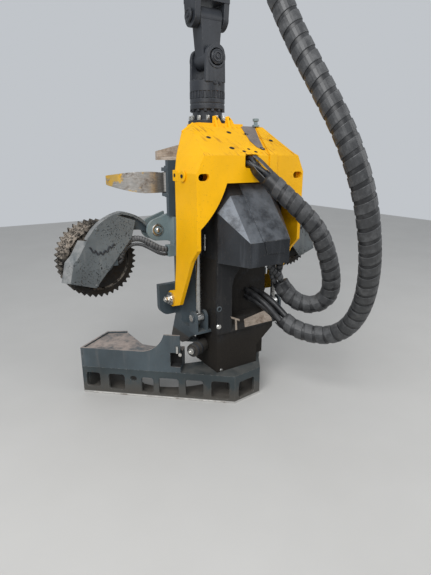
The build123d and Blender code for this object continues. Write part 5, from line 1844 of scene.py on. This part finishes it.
@dataclass
class FrameFittings:
    """Pins, nuts, plugs, plates and latches on the frame and the saw box."""

    tilt_nut: Point = (0.4285, 0.33, 0.67)
    lock_nut_x: float = 0.4165
    lock_nuts: tuple[Spot, Spot] = ((-0.036, 0.012), (0.036, -0.012))
    rod_pin: Point = (0.3665, 0.12, 0.586)
    rod_cap: Profile = (
        (0.006, 0.0), (0.019, 0.0), (0.022, 0.001), (0.022, 0.0022), (0.018, 0.003),
        (0.008, 0.003),
    )
    hinge_ring_at: Point = (0.441, 0.4255, 1.128)
    hinge_ring: Profile = (
        (0.026, 0.0), (0.04, 0.0), (0.042, 0.003), (0.038, 0.008), (0.029, 0.008),
        (0.027, 0.002),
    )
    hinge_bolt_at: Point = (0.441, 0.4118, 1.128)
    hinge_bolt: Profile = (
        (0.006, 0.0), (0.016, 0.0), (0.017, 0.003), (0.012, 0.007), (0.005, 0.008),
    )
    sill_strip: Route = (
        (-0.022, 0.0005, 0.489), (0.212, 0.0005, 0.489), (0.212, 0.046, 0.55),
        (0.165, 0.049, 0.5535), (-0.008, 0.034, 0.533),
    )
    sill_fall: Point = (0, -0.067, 0.05)
    sill_thick: float = 0.006
    sill_bar: Route = (
        (-0.142, 0.0, 0.594), (-0.134, 0.0, 0.578), (-0.07, 0.0, 0.546), (-0.07, 0.0, 0.56),
    )
    sill_stem: Route = (
        (-0.106, 0.0, 0.568), (-0.092, 0.0, 0.561), (-0.088, 0.0, 0.488), (-0.102, 0.0, 0.488),
    )
    foot_plug: Profile = ((0.005, 0.012), (0.014, 0.011), (0.018, 0.006), (0.018, 0.0))
    foot_plug_at: Point = (-0.233, 0.0, 0.541)
    hole_ring: Profile = ((0.0115, 0.0012), (0.0125, 0.005), (0.0175, 0.004), (0.0185, 0.0))
    hole_painted_shade: Profile = ((0.003, 0.0016), (0.0115, 0.0016), (0.0118, 0.0002))
    hole_at: Point = (-0.228, 0.0, 0.66)
    foot_bolt: Profile = ((0.004, 0.009), (0.01, 0.008), (0.012, 0.003), (0.013, 0.0))
    foot_bolt_at: Point = (-0.2, 0.018, 0.213)
    stub_at: Point = (-0.372, 0.105, 0.362)
    stub_way: Point = (-0.906, -0.423, 0)
    stub_radius: float = 0.042
    stub_bands: Spot = (-0.026, -0.07)
    stub_lip: Profile = ((0.024, 0.0105), (0.0255, 0.014), (0.0285, 0.0135), (0.029, 0.008))
    cover_x: Spot = (-0.056, 0.136)
    cover_y: Spot = (-0.2135, 0.05)
    cover_rise: float = 1.2
    cover_level: float = 1.368
    cover_lip: Route = (
        (-0.05, -0.2145, 1.1135), (0.09, -0.2145, 1.1135), (0.108, -0.2145, 1.03),
        (-0.026, -0.2145, 1.034),
    )
    guard_bolts: tuple[Spot, ...] = ((0.838, 1.162), (0.972, 0.979), (0.864, 0.802))
    guard_bolt: Profile = ((0.004, 0.006), (0.008, 0.006), (0.01, 0.002), (0.011, 0.0))
    guard_face: float = 0.4552
    weld_from: float = 0.895
    weld_run: float = 0.165
    weld_y: float = 0.4532
    weld_z: float = 1.05
    weld_sag: float = 0.042
    weld_wave: float = 0.009
    weld_waves: float = 5.5
    weld_steps: int = 60
    weld_thick: float = 0.0105
    latch: Profile = ((0.004, 0.0), (0.009, 0.001), (0.009, 0.05), (0.004, 0.051))
    latch_at: Point = (-0.463, 0.146, 0.35)
    stop: Profile = ((0.004, 0.0), (0.012, 0.001), (0.012, 0.012), (0.004, 0.013))
    stop_at: Point = (-0.447, 0.132, 0.345)
    stop_way: Point = (-0.65, -0.76, 0)
    wall_along: Point = (0.7598, -0.6502, 0)
    wall_inward: Point = (0.6502, 0.7598, 0)
    notch_left: Point = (-0.4938, 0.1891, 0)
    notch_right: Point = (-0.4421, 0.1449, 0)
    notch_in: float = 0.003
    notch_deep: float = 0.0568
    notch_z: Spot = (0.2435, 0.3445)
    notch_floor: float = 0.2425
    liner: float = 0.0015
    wall_end: Point = (-0.974, 0.6, 0)
    edge_from: float = 0.07
    edge_long: float = 0.94
    edge_thick: float = 0.003
    pipe: Profile = (
        (0.004, 0.0), (0.0062, 0.001), (0.0062, 0.012), (0.009, 0.013), (0.009, 0.03),
        (0.0062, 0.031), (0.0055, 0.033), (0.0055, 0.07), (0.0062, 0.072), (0.0085, 0.073),
        (0.0085, 0.086), (0.006, 0.087), (0.006, 0.101), (0.004, 0.102),
    )
    pipe_at: Point = (0.2635, 0.115, 1.026)

    def nut(self, name: str, spot: Matrix, radius: float, height: float) -> bpy.types.Mesh:
        """A hexagon nut on a washer with a short stud.

        Args:
            name: The mesh's name.
            spot: Where it stands.
            radius: The nut's radius over its corners.
            height: Its height.

        Returns:
            The mesh.
        """
        washer = ((radius * 1.35, 0.0), (radius * 1.4, 0.001), (radius * 1.35, 0.003))
        body = (
            (radius * 0.96, 0.003), (radius, 0.005), (radius, height),
            (radius * 0.9, height + 0.002),
        )
        stud = (
            (radius * 0.5, height), (radius * 0.5, height + 0.008), (radius * 0.4, height + 0.01)
        )
        profiles = ((washer, 28), (body, HEXAGON), (stud, 16))
        return joined(name, [turned("part", profile, spot, steps) for profile, steps in profiles])

    def pocket_shade_lining(self) -> None:
        """Near-black sheets lining the notch's back, left side and floor: painted shade inside the
        notch.
        """
        along, inward = Vector(self.wall_along), Vector(self.wall_inward)
        left = Vector(self.notch_left) + inward * self.notch_in
        right = Vector(self.notch_right) + inward * self.notch_in
        deep = inward * self.notch_deep
        low, high = self.notch_z
        parts = []
        for first, second, depth in (
            (left + deep, right + deep, inward * -self.liner),
            (left, left + deep, along * self.liner),
        ):
            corners = ((first, low), (second, low), (second, high), (first, high))
            outline = tuple((p.x, p.y, z) for p, z in corners)
            parts.append(slab("wall", outline, tuple(depth), 0.0))
        ring = (left, right, right + deep, left + deep)
        outline = tuple((p.x, p.y, self.notch_floor) for p in ring)
        parts.append(slab("floor_plate", outline, (0, 0, 0.001), 0.0))
        add_piece(joined("pocket_shade_lining", parts), Shelf.dark, "frame")

    def box_edge(self) -> None:
        """The pale strip along the bottom edge of the saw box's left wall: worn steel and a painted
        edge highlight.
        """
        along, inward = Vector(self.wall_along), Vector(self.wall_inward)
        start = Vector(self.wall_end) + along * self.edge_from
        end = start + along * self.edge_long
        corners = ((start, 0.002), (end, 0.002), (end, 0.0105), (start, 0.0125))
        outline = tuple((p.x, p.y, z) for p, z in corners)
        strip = slab("box_edge_highlight_strip", outline, tuple(inward * -self.edge_thick), 0.001)
        add_piece(strip, Shelf.edge, "frame")

    def cylinder_pipes(self) -> None:
        """The plated pipe with two nuts beside the lower end of each tilt cylinder's barrel."""
        x, y, z = self.pipe_at
        for side, sign in SIDES:
            pipe = turned(f"cylinder_pipe_{side}", self.pipe, aim((x * sign, y, z), UP), 12)
            add_piece(pipe, Shelf.pin, f"barrel_{side}")

    def tilt_pin_nuts(self) -> None:
        """The nut and lock nuts on the outer end of each tilt pin."""
        x, y, z = self.tilt_nut
        for side, sign in SIDES:
            way = (sign, 0, 0)
            nuts = [self.nut("tilt_nut", aim((x * sign, y, z), way), 0.022, 0.02)]
            for dy, dz in self.lock_nuts:
                spot = aim((self.lock_nut_x * sign, y + dy, z + dz), way)
                nuts.append(self.nut("small_nut", spot, 0.008, 0.008))
            add_piece(joined(f"tilt_pin_nut_{side}", nuts), Shelf.pin, "frame")

    def lug_caps(self) -> None:
        """The bright ends of the pins in the lugs of the tilt cylinders' rods."""
        x, y, z = self.rod_pin
        for side, sign in SIDES:
            spot = aim((x * sign, y, z), (sign, 0, 0))
            cap = turned(f"rod_pin_cap_{side}", self.rod_cap, spot, 32)
            add_piece(cap, Shelf.pin, "frame")

    def hinge_rings(self) -> None:
        """The ring and bolt on the back end of each arm's hinge pin."""
        for side, sign in SIDES:
            parts = []
            for profile, (x, y, z), steps in (
                (self.hinge_ring, self.hinge_ring_at, 40),
                (self.hinge_bolt, self.hinge_bolt_at, 24),
            ):
                parts.append(turned("part", profile, aim((x * sign, y, z), BACK), steps))
            add_piece(joined(f"arm_hinge_ring_{side}", parts), Shelf.pin, "frame")

    def sill(self) -> None:
        """The worn strip and the bent bracket on the recess's sill."""
        fall = Vector(self.sill_fall).normalized() * self.sill_thick
        strip = slab("sill_strip", self.sill_strip, tuple(fall), 0.0015)
        add_piece(strip, Shelf.top_knife, "frame")
        bar = slab("bar", self.sill_bar, (0, -0.007, 0), 0.0015)
        stem = slab("stem", self.sill_stem, (0, -0.006, 0), 0.0015)
        add_piece(joined("sill_bracket", [bar, stem]), Shelf.top_knife, "frame")

    def back_face(self) -> None:
        """The plug, the ringed hole with a near-black disk of painted shade inside it, and the bolt
        on the back face.
        """
        for name, profile, place, steps, finish, slot in (
            ("foot_plug", self.foot_plug, self.foot_plug_at, 32, Shelf.pin, "pin_steel"),
            ("hole_ring", self.hole_ring, self.hole_at, 32, Shelf.slate, "frame_grey"),
            ("hole_painted_shade", self.hole_painted_shade, self.hole_at, 32, Shelf.dark, "frame_grey"),
            ("foot_bolt", self.foot_bolt, self.foot_bolt_at, 24, Shelf.pin, "pin_steel"),
        ):
            add_piece(turned(name, profile, aim(place, BACK), steps), finish, "frame")

    def stub_end(self) -> None:
        """Bands round the stub low on the left, and the bright nut in its end."""
        place = aim(self.stub_at, self.stub_way)
        outer = self.stub_radius + 0.0035
        parts = []
        for low in self.stub_bands:
            band = (
                (self.stub_radius, low), (outer, low + 0.002), (outer, low + 0.014),
                (self.stub_radius, low + 0.016),
            )
            parts.append(turned("band", band, place, 48))
        parts.append(turned("lip", self.stub_lip, place, 40))
        add_piece(joined("stub_bands", parts), Shelf.cast, "frame")
        end = aim(tuple(place @ Vector((0, 0, 0.0098))), self.stub_way)
        add_piece(self.nut("stub_nut", end, 0.0155, 0.014), Shelf.pin, "frame")

    def cover_plate(self) -> None:
        """The overlapping plate on the hose cover's roof, with its lip bent down over the eave."""
        rise = Vector((0, -self.cover_rise, 1)).normalized() * 0.004
        (left, right), (low, high) = self.cover_x, self.cover_y
        roof = tuple(
            (x, y, self.cover_level + self.cover_rise * y)
            for x, y in ((left, low), (right, low), (right, high), (left, high))
        )
        plate = slab("plate", roof, tuple(rise), 0.0012)
        lip = slab("lip", self.cover_lip, (0, -0.006, 0), 0.002)
        add_piece(joined("cover_plate", [plate, lip]), Shelf.cover, "frame")

    def weld_line(self, sign: float) -> Route:
        """The sagging, wavy line of a guard's weld.

        Args:
            sign: The side's direction along X.

        Returns:
            Its control points.
        """
        points = []
        for step in range(self.weld_steps + 1):
            share = step / self.weld_steps
            x = self.weld_from - self.weld_run * share
            sag = self.weld_sag * math.sin(math.pi * min(1.0, share * 1.15))
            wave = self.weld_wave * math.sin(share * math.tau * self.weld_waves)
            points.append((x * sign, self.weld_y, self.weld_z - sag + wave))
        return tuple(points)

    def guard_parts(self) -> None:
        """Bolts on each roller guard's face and the wavy weld across it."""
        for side, sign in SIDES:
            body = f"arm_{side}"
            # The weld takes the near-black cast finish: painted shade along the bead.
            bead = nurbs("guard_weld", self.weld_line(sign), self.weld_thick)
            weld = tube_mesh(f"guard_weld_{side}", bead)
            add_piece(weld, Shelf.cast, body, smooth=True)
            bolts = [
                turned("bolt", self.guard_bolt, aim((x * sign, self.guard_face, z), BACK), 20)
                for x, z in self.guard_bolts
            ]
            data = joined(f"guard_bolts_{side}", bolts)
            add_piece(data, Shelf.guard_plate, body, smooth=True)

    def pocket_parts(self) -> None:
        """The latch and stop in the notch of the saw bar's housing."""
        latch = turned("latch", self.latch, aim(self.latch_at, UP), 20)
        stop = turned("stop", self.stop, aim(self.stop_at, self.stop_way), 20)
        add_piece(joined("pocket_latch_parts", [latch, stop]), Shelf.pin, "frame")

    def build(self) -> None:
        """Make all the small parts."""
        self.pocket_shade_lining()
        self.box_edge()
        self.cylinder_pipes()
        self.tilt_pin_nuts()
        self.lug_caps()
        self.hinge_rings()
        self.sill()
        self.back_face()
        self.stub_end()
        self.cover_plate()
        self.guard_parts()
        self.pocket_parts()


# Hood details


@dataclass
class HoodDetails:
    """The hood's right shoulder, raised strip, channel of painted shade, holes, lip, lugs and hose
    sleeve.
    """

    slope: float = 0.4878
    back: float = -0.03
    eave: float = 1.6
    crest: Spot = (0.175, 1.8)
    crest_fall: float = 0.667
    kink: Spot = (0.256, 1.746)
    kink_fall: float = 1.553
    shoulder_rows: tuple[Spot, ...] = (
        (0.0, 0.337), (0.1, 0.339), (0.2, 0.343), (0.29, 0.348), (0.35, 0.352),
    )
    shoulder_toe: float = 0.298
    strip_top: tuple[Spot, ...] = (
        (0.115, -0.032), (0.176, -0.032), (0.322, 0.345), (0.284, 0.345),
    )
    strip_thick: float = 0.007
    strip_fall: Route = (
        (0.115, -0.03, 1.448), (0.178, -0.03, 1.448), (0.176, -0.03, 1.607),
        (0.115, -0.03, 1.607),
    )
    channel: tuple[Spot, ...] = (
        (0.091, 0.068), (0.12, 0.03), (0.196, 0.19), (0.28, 0.35), (0.165, 0.35),
        (0.094, 0.145),
    )
    channel_thick: float = 0.0045
    holes_at: tuple[tuple[float, float, float, float], ...] = (
        (-0.19, 0.184, 0.011, 0.0), (0.008, 0.258, 0.012, 0.0), (-0.105, 0.055, 0.012, 0.0),
        (0.128, 0.233, 0.01, 0.0046), (-0.042, 0.017, 0.007, 0.0), (0.042, 0.012, 0.007, 0.0),
        (0.118, 0.045, 0.012, 0.0046), (0.272, 0.156, 0.01, 0.003), (0.012, 0.045, 0.006, 0.0),
    )
    lip: Profile = ((0.006, 0.0), (0.011, 0.004), (0.011, 0.098), (0.006, 0.102))
    lip_at: Point = (-0.176, 0.392, 1.796)
    lip_way: Point = (-0.083, 0, -0.056)
    plug: Profile = (
        (0.022, 0.0), (0.024, 0.003), (0.024, 0.012), (0.013, 0.015), (0.013, 0.034),
        (0.021, 0.037), (0.021, 0.052), (0.008, 0.055),
    )
    plug_at: Point = (0.28, 0.335, 0.008)
    side_lug: Route = (
        (0.3745, 0.205, 1.448), (0.3745, 0.262, 1.45), (0.3745, 0.262, 1.515),
        (0.3745, 0.205, 1.515),
    )
    lug_thick: float = 0.0275
    collar: Profile = ((0.03, 0.0), (0.033, 0.003), (0.033, 0.009), (0.03, 0.011), (0.02, 0.0108))
    bolt: Profile = ((0.004, 0.016), (0.011, 0.016), (0.0125, 0.013), (0.0125, 0.009))
    bolt_at: Point = (0.4, 0.124, 1.483)
    eye: Profile = ((0.002, 0.0012), (0.011, 0.0012), (0.012, 0.0002))
    eye_at: Point = (0.402, 0.236, 1.484)
    cheeks_x: Spot = (-0.052, 0.047)
    cheek: tuple[Spot, ...] = (
        (0.0, 1.796), (0.07, 1.796), (0.05, 1.826), (0.024, 1.848), (0.002, 1.844),
    )
    cheek_y: float = 0.352
    cheek_eye: Profile = ((0.002, 0.001), (0.008, 0.001), (0.009, 0.0001))
    cheek_eye_at: Spot = (0.026, 1.828)
    sleeve_line: Route = (
        (-0.018, -0.028, 1.575), (-0.004, -0.052, 1.556), (0.01, -0.085, 1.525),
        (0.03, -0.115, 1.492), (0.05, -0.142, 1.458), (0.068, -0.165, 1.426),
    )
    sleeve_look: Point = (0.53, 0.85, -0.1)
    sleeve_half: float = 0.034
    sleeve_bulge: Spot = (0.022, 0.006)

    def roof(self, x: float, y: float, lift: float = 0.0) -> Point:
        """A point on the roof."""
        return (x, y, self.eave + self.slope * (y - self.back) + lift)

    def rise(self, thick: float) -> Point:
        """A step out of the roof."""
        return tuple(Vector((0, -self.slope, 1)).normalized() * thick)

    def facet(self, x: float) -> float:
        """The height of the sloping shoulder.

        Args:
            x: The place's distance from the middle plane.

        Returns:
            The height.
        """
        if x < self.kink[0]:
            return self.crest[1] - (x - self.crest[0]) * self.crest_fall
        return self.kink[1] - (x - self.kink[0]) * self.kink_fall

    def roof_edge(self, y: float) -> float:
        """Where the roof meets the sloping shoulder.

        Args:
            y: The place along the roof.

        Returns:
            The distance from the middle plane.
        """
        height = self.roof(0, y)[2]
        if height > self.kink[1]:
            return self.crest[0] + (self.crest[1] - height) / self.crest_fall
        return self.kink[0] + (self.kink[1] - height) / self.kink_fall

    def shoulder(self) -> None:
        """The box that carries the roof on to the right over the sloping shoulder."""
        points: list[Vector] = []
        kink = self.kink[0]
        for y, outer in self.shoulder_rows:
            inner = min(self.roof_edge(y) - 0.004, outer - 0.004)
            middle = (inner + outer) / 2
            if inner < kink:
                middle = max(inner + 0.001, min(kink, outer - 0.002))
            points += [
                Vector(self.roof(inner, y, 0.002)), Vector(self.roof(outer, y, 0.002)),
                Vector((outer, min(y, self.shoulder_toe), self.facet(outer) - 0.005)),
                Vector((middle, y, self.facet(middle) - 0.006)),
                Vector(self.roof(inner, y, -0.006)),
            ]
        data = loft("hood_right_shoulder", points, len(points) // len(self.shoulder_rows))
        add_piece(data, Shelf.hood, "tilt")

    def strip(self) -> None:
        """The raised strip down the roof and the back, and the purple-grey sheet of painted shade
        beside it.
        """
        outline = tuple(self.roof(x, y, 0.002) for x, y in self.strip_top)
        top = slab("top", outline, self.rise(self.strip_thick), 0.002)
        fall = slab("fall", self.strip_fall, (0, -self.strip_thick, 0), 0.002)
        add_piece(joined("hood_raised_strip", [top, fall]), Shelf.hood, "tilt")
        outline = tuple(self.roof(x, y) for x, y in self.channel)
        channel = slab("hood_channel", outline, self.rise(self.channel_thick), 0.0015)
        add_piece(channel, Shelf.channel, "tilt")

    def holes(self) -> None:
        """The bolt holes of the roof and the channel, each a near-black disk of painted shade with
        a low rim.
        """
        parts = []
        for x, y, size, lift in self.holes_at:
            profile = (
                (0.002, 0.0002), (size, 0.0004), (size + 0.0015, 0.0014), (size + 0.0035, 0.0016),
                (size + 0.0045, 0.0002),
            )
            parts.append(turned("hole", profile, aim(self.roof(x, y, lift), self.rise(1.0)), 24))
        add_piece(joined("hood_roof_holes", parts), Shelf.dark, "tilt")

    def edges(self) -> None:
        """The rolled lip on the left front edge and the plug on the ridge."""
        lip = turned("hood_front_lip", self.lip, aim(self.lip_at, self.lip_way), 20)
        add_piece(lip, Shelf.hood, "tilt")
        plug = turned("ridge_plug", self.plug, aim(self.roof(*self.plug_at), UP), 12)
        add_piece(plug, Shelf.bracket, "tilt")

    def side_lugs(self) -> None:
        """The side lugs with their collars and near-black bolts, and a near-black disk of painted
        shade in each eye.
        """
        for side, sign in SIDES:
            outline = tuple((x * sign, y, z) for x, y, z in self.side_lug)
            bolt_spot, eye_spot = (
                aim((x * sign, y, z), (sign, 0, 0)) for x, y, z in (self.bolt_at, self.eye_at)
            )
            lug = slab("lug", outline, (self.lug_thick * sign, 0, 0), 0.003)
            collar = turned("collar", self.collar, bolt_spot, 40)
            data = joined(f"hood_side_lug_{side}", [lug, collar])
            add_piece(data, Shelf.hood, "tilt")
            bolt = turned("bolt", self.bolt, bolt_spot, HEXAGON)
            eye = turned("eye", self.eye, eye_spot, 24)
            data = joined(f"hood_side_bolt_{side}", [bolt, eye])
            add_piece(data, Shelf.dark, "tilt")

    def ridge_lugs(self) -> None:
        """The cheeks on the ridge's two lugs, each with a near-black disk of painted shade for its
        eye.
        """
        for number, middle in enumerate(self.cheeks_x, 1):
            outline = tuple((middle + x, self.cheek_y, z) for x, z in self.cheek)
            cheek = slab(f"ridge_lug_cheek_{number}", outline, (0, 0.014, 0), 0.003)
            add_piece(cheek, Shelf.hood, "tilt")
            x, z = self.cheek_eye_at
            spot = aim((middle + x, self.cheek_y, z), BACK)
            eye = turned(f"ridge_lug_eye_{number}", self.cheek_eye, spot, 20)
            add_piece(eye, Shelf.dark, "tilt")

    def flap(self, line: list[Vector], edge: int, bulge: float) -> bpy.types.Mesh:
        """One curved flap of the split sleeve.

        Args:
            line: The sleeve's middle line.
            edge: The side that it is on, -1 or 1.
            bulge: How far it stands out in its middle.

        Returns:
            The mesh.
        """
        points: list[Vector] = []
        last = len(line) - 1
        for number, place in enumerate(line):
            along = (line[min(number + 1, last)] - line[max(number - 1, 0)]).normalized()
            across = along.cross(Vector(self.sleeve_look)).normalized()
            out = across.cross(along).normalized()
            wide = self.sleeve_half + bulge * math.sin(math.pi * number / last)
            rim = place + across * edge * wide
            root = place + across * edge * wide * 0.45 - out * 0.03
            skin = across * edge * 0.004
            points += [rim + out * 0.012, rim + skin + out * 0.012, root + skin, root]
        return loft("flap", points, len(points) // len(line))

    def sleeve(self) -> None:
        """The split sleeve round the hoses between the hood's hole and their guard."""
        line = [Vector(p) for p in self.sleeve_line]
        flaps = [self.flap(line, edge, bulge) for edge, bulge in zip((-1, 1), self.sleeve_bulge)]
        add_piece(joined("hood_hose_sleeve", flaps), Shelf.hose, "tilt")

    def build(self) -> None:
        """Make the details."""
        self.shoulder()
        self.strip()
        self.holes()
        self.edges()
        self.side_lugs()
        self.ridge_lugs()
        self.sleeve()


FINISHES: dict[str, Finish] = {
    "main_frame": Shelf.frame, "bed_roller": Shelf.roller, "hose_cover": Shelf.cover,
    "top_knife": Shelf.top_knife, "saw_box": Shelf.box, "saw_bar": Shelf.bar,
    "bar_pocket": Shelf.pocket, "tilt_frame": Shelf.hood, "rotator_head": Shelf.cast,
    "swing_link": Shelf.cast, "crane_fork": Shelf.cast,
}
PAIR_FINISHES: dict[str, Finish] = {
    "tilt_pin": Shelf.pin, "rod_lugs": Shelf.slate, "roller_bracket": Shelf.bracket,
    "upper_knife_post": Shelf.slate, "lower_knife_post": Shelf.slate, "upper_knife": Shelf.knife,
    "lower_knife": Shelf.knife, "tilt_barrel": Shelf.cylinder, "tilt_rod": Shelf.rod,
    "roller_arm": Shelf.slate, "roller_guard": Shelf.guard_plate,
}


def dress_nodes() -> None:
    """Give every CAD node that stays its finish."""
    finishes = dict(FINISHES)
    for side, _ in SIDES:
        finishes |= {f"{stem}_{side}": finish for stem, finish in PAIR_FINISHES.items()}
    for node, finish in finishes.items():
        materials = frame["nodes"][node].data.materials
        materials.clear()
        materials.append(Shelf.take(finish))


def main() -> None:
    """Build the scene in order: camera, hoses, then every other piece."""
    logging.basicConfig(level=logging.INFO, format="%(name)s: %(message)s")
    studio = Studio()
    studio.camera()
    HoseLoom().build()
    studio.lights()
    studio.floor()
    dress_nodes()
    FeedRoller().build()
    RotatorTop().build()
    SawChain().build()
    FrameFittings().build()
    HoodDetails().build()


if __name__ == "__main__":
    main()
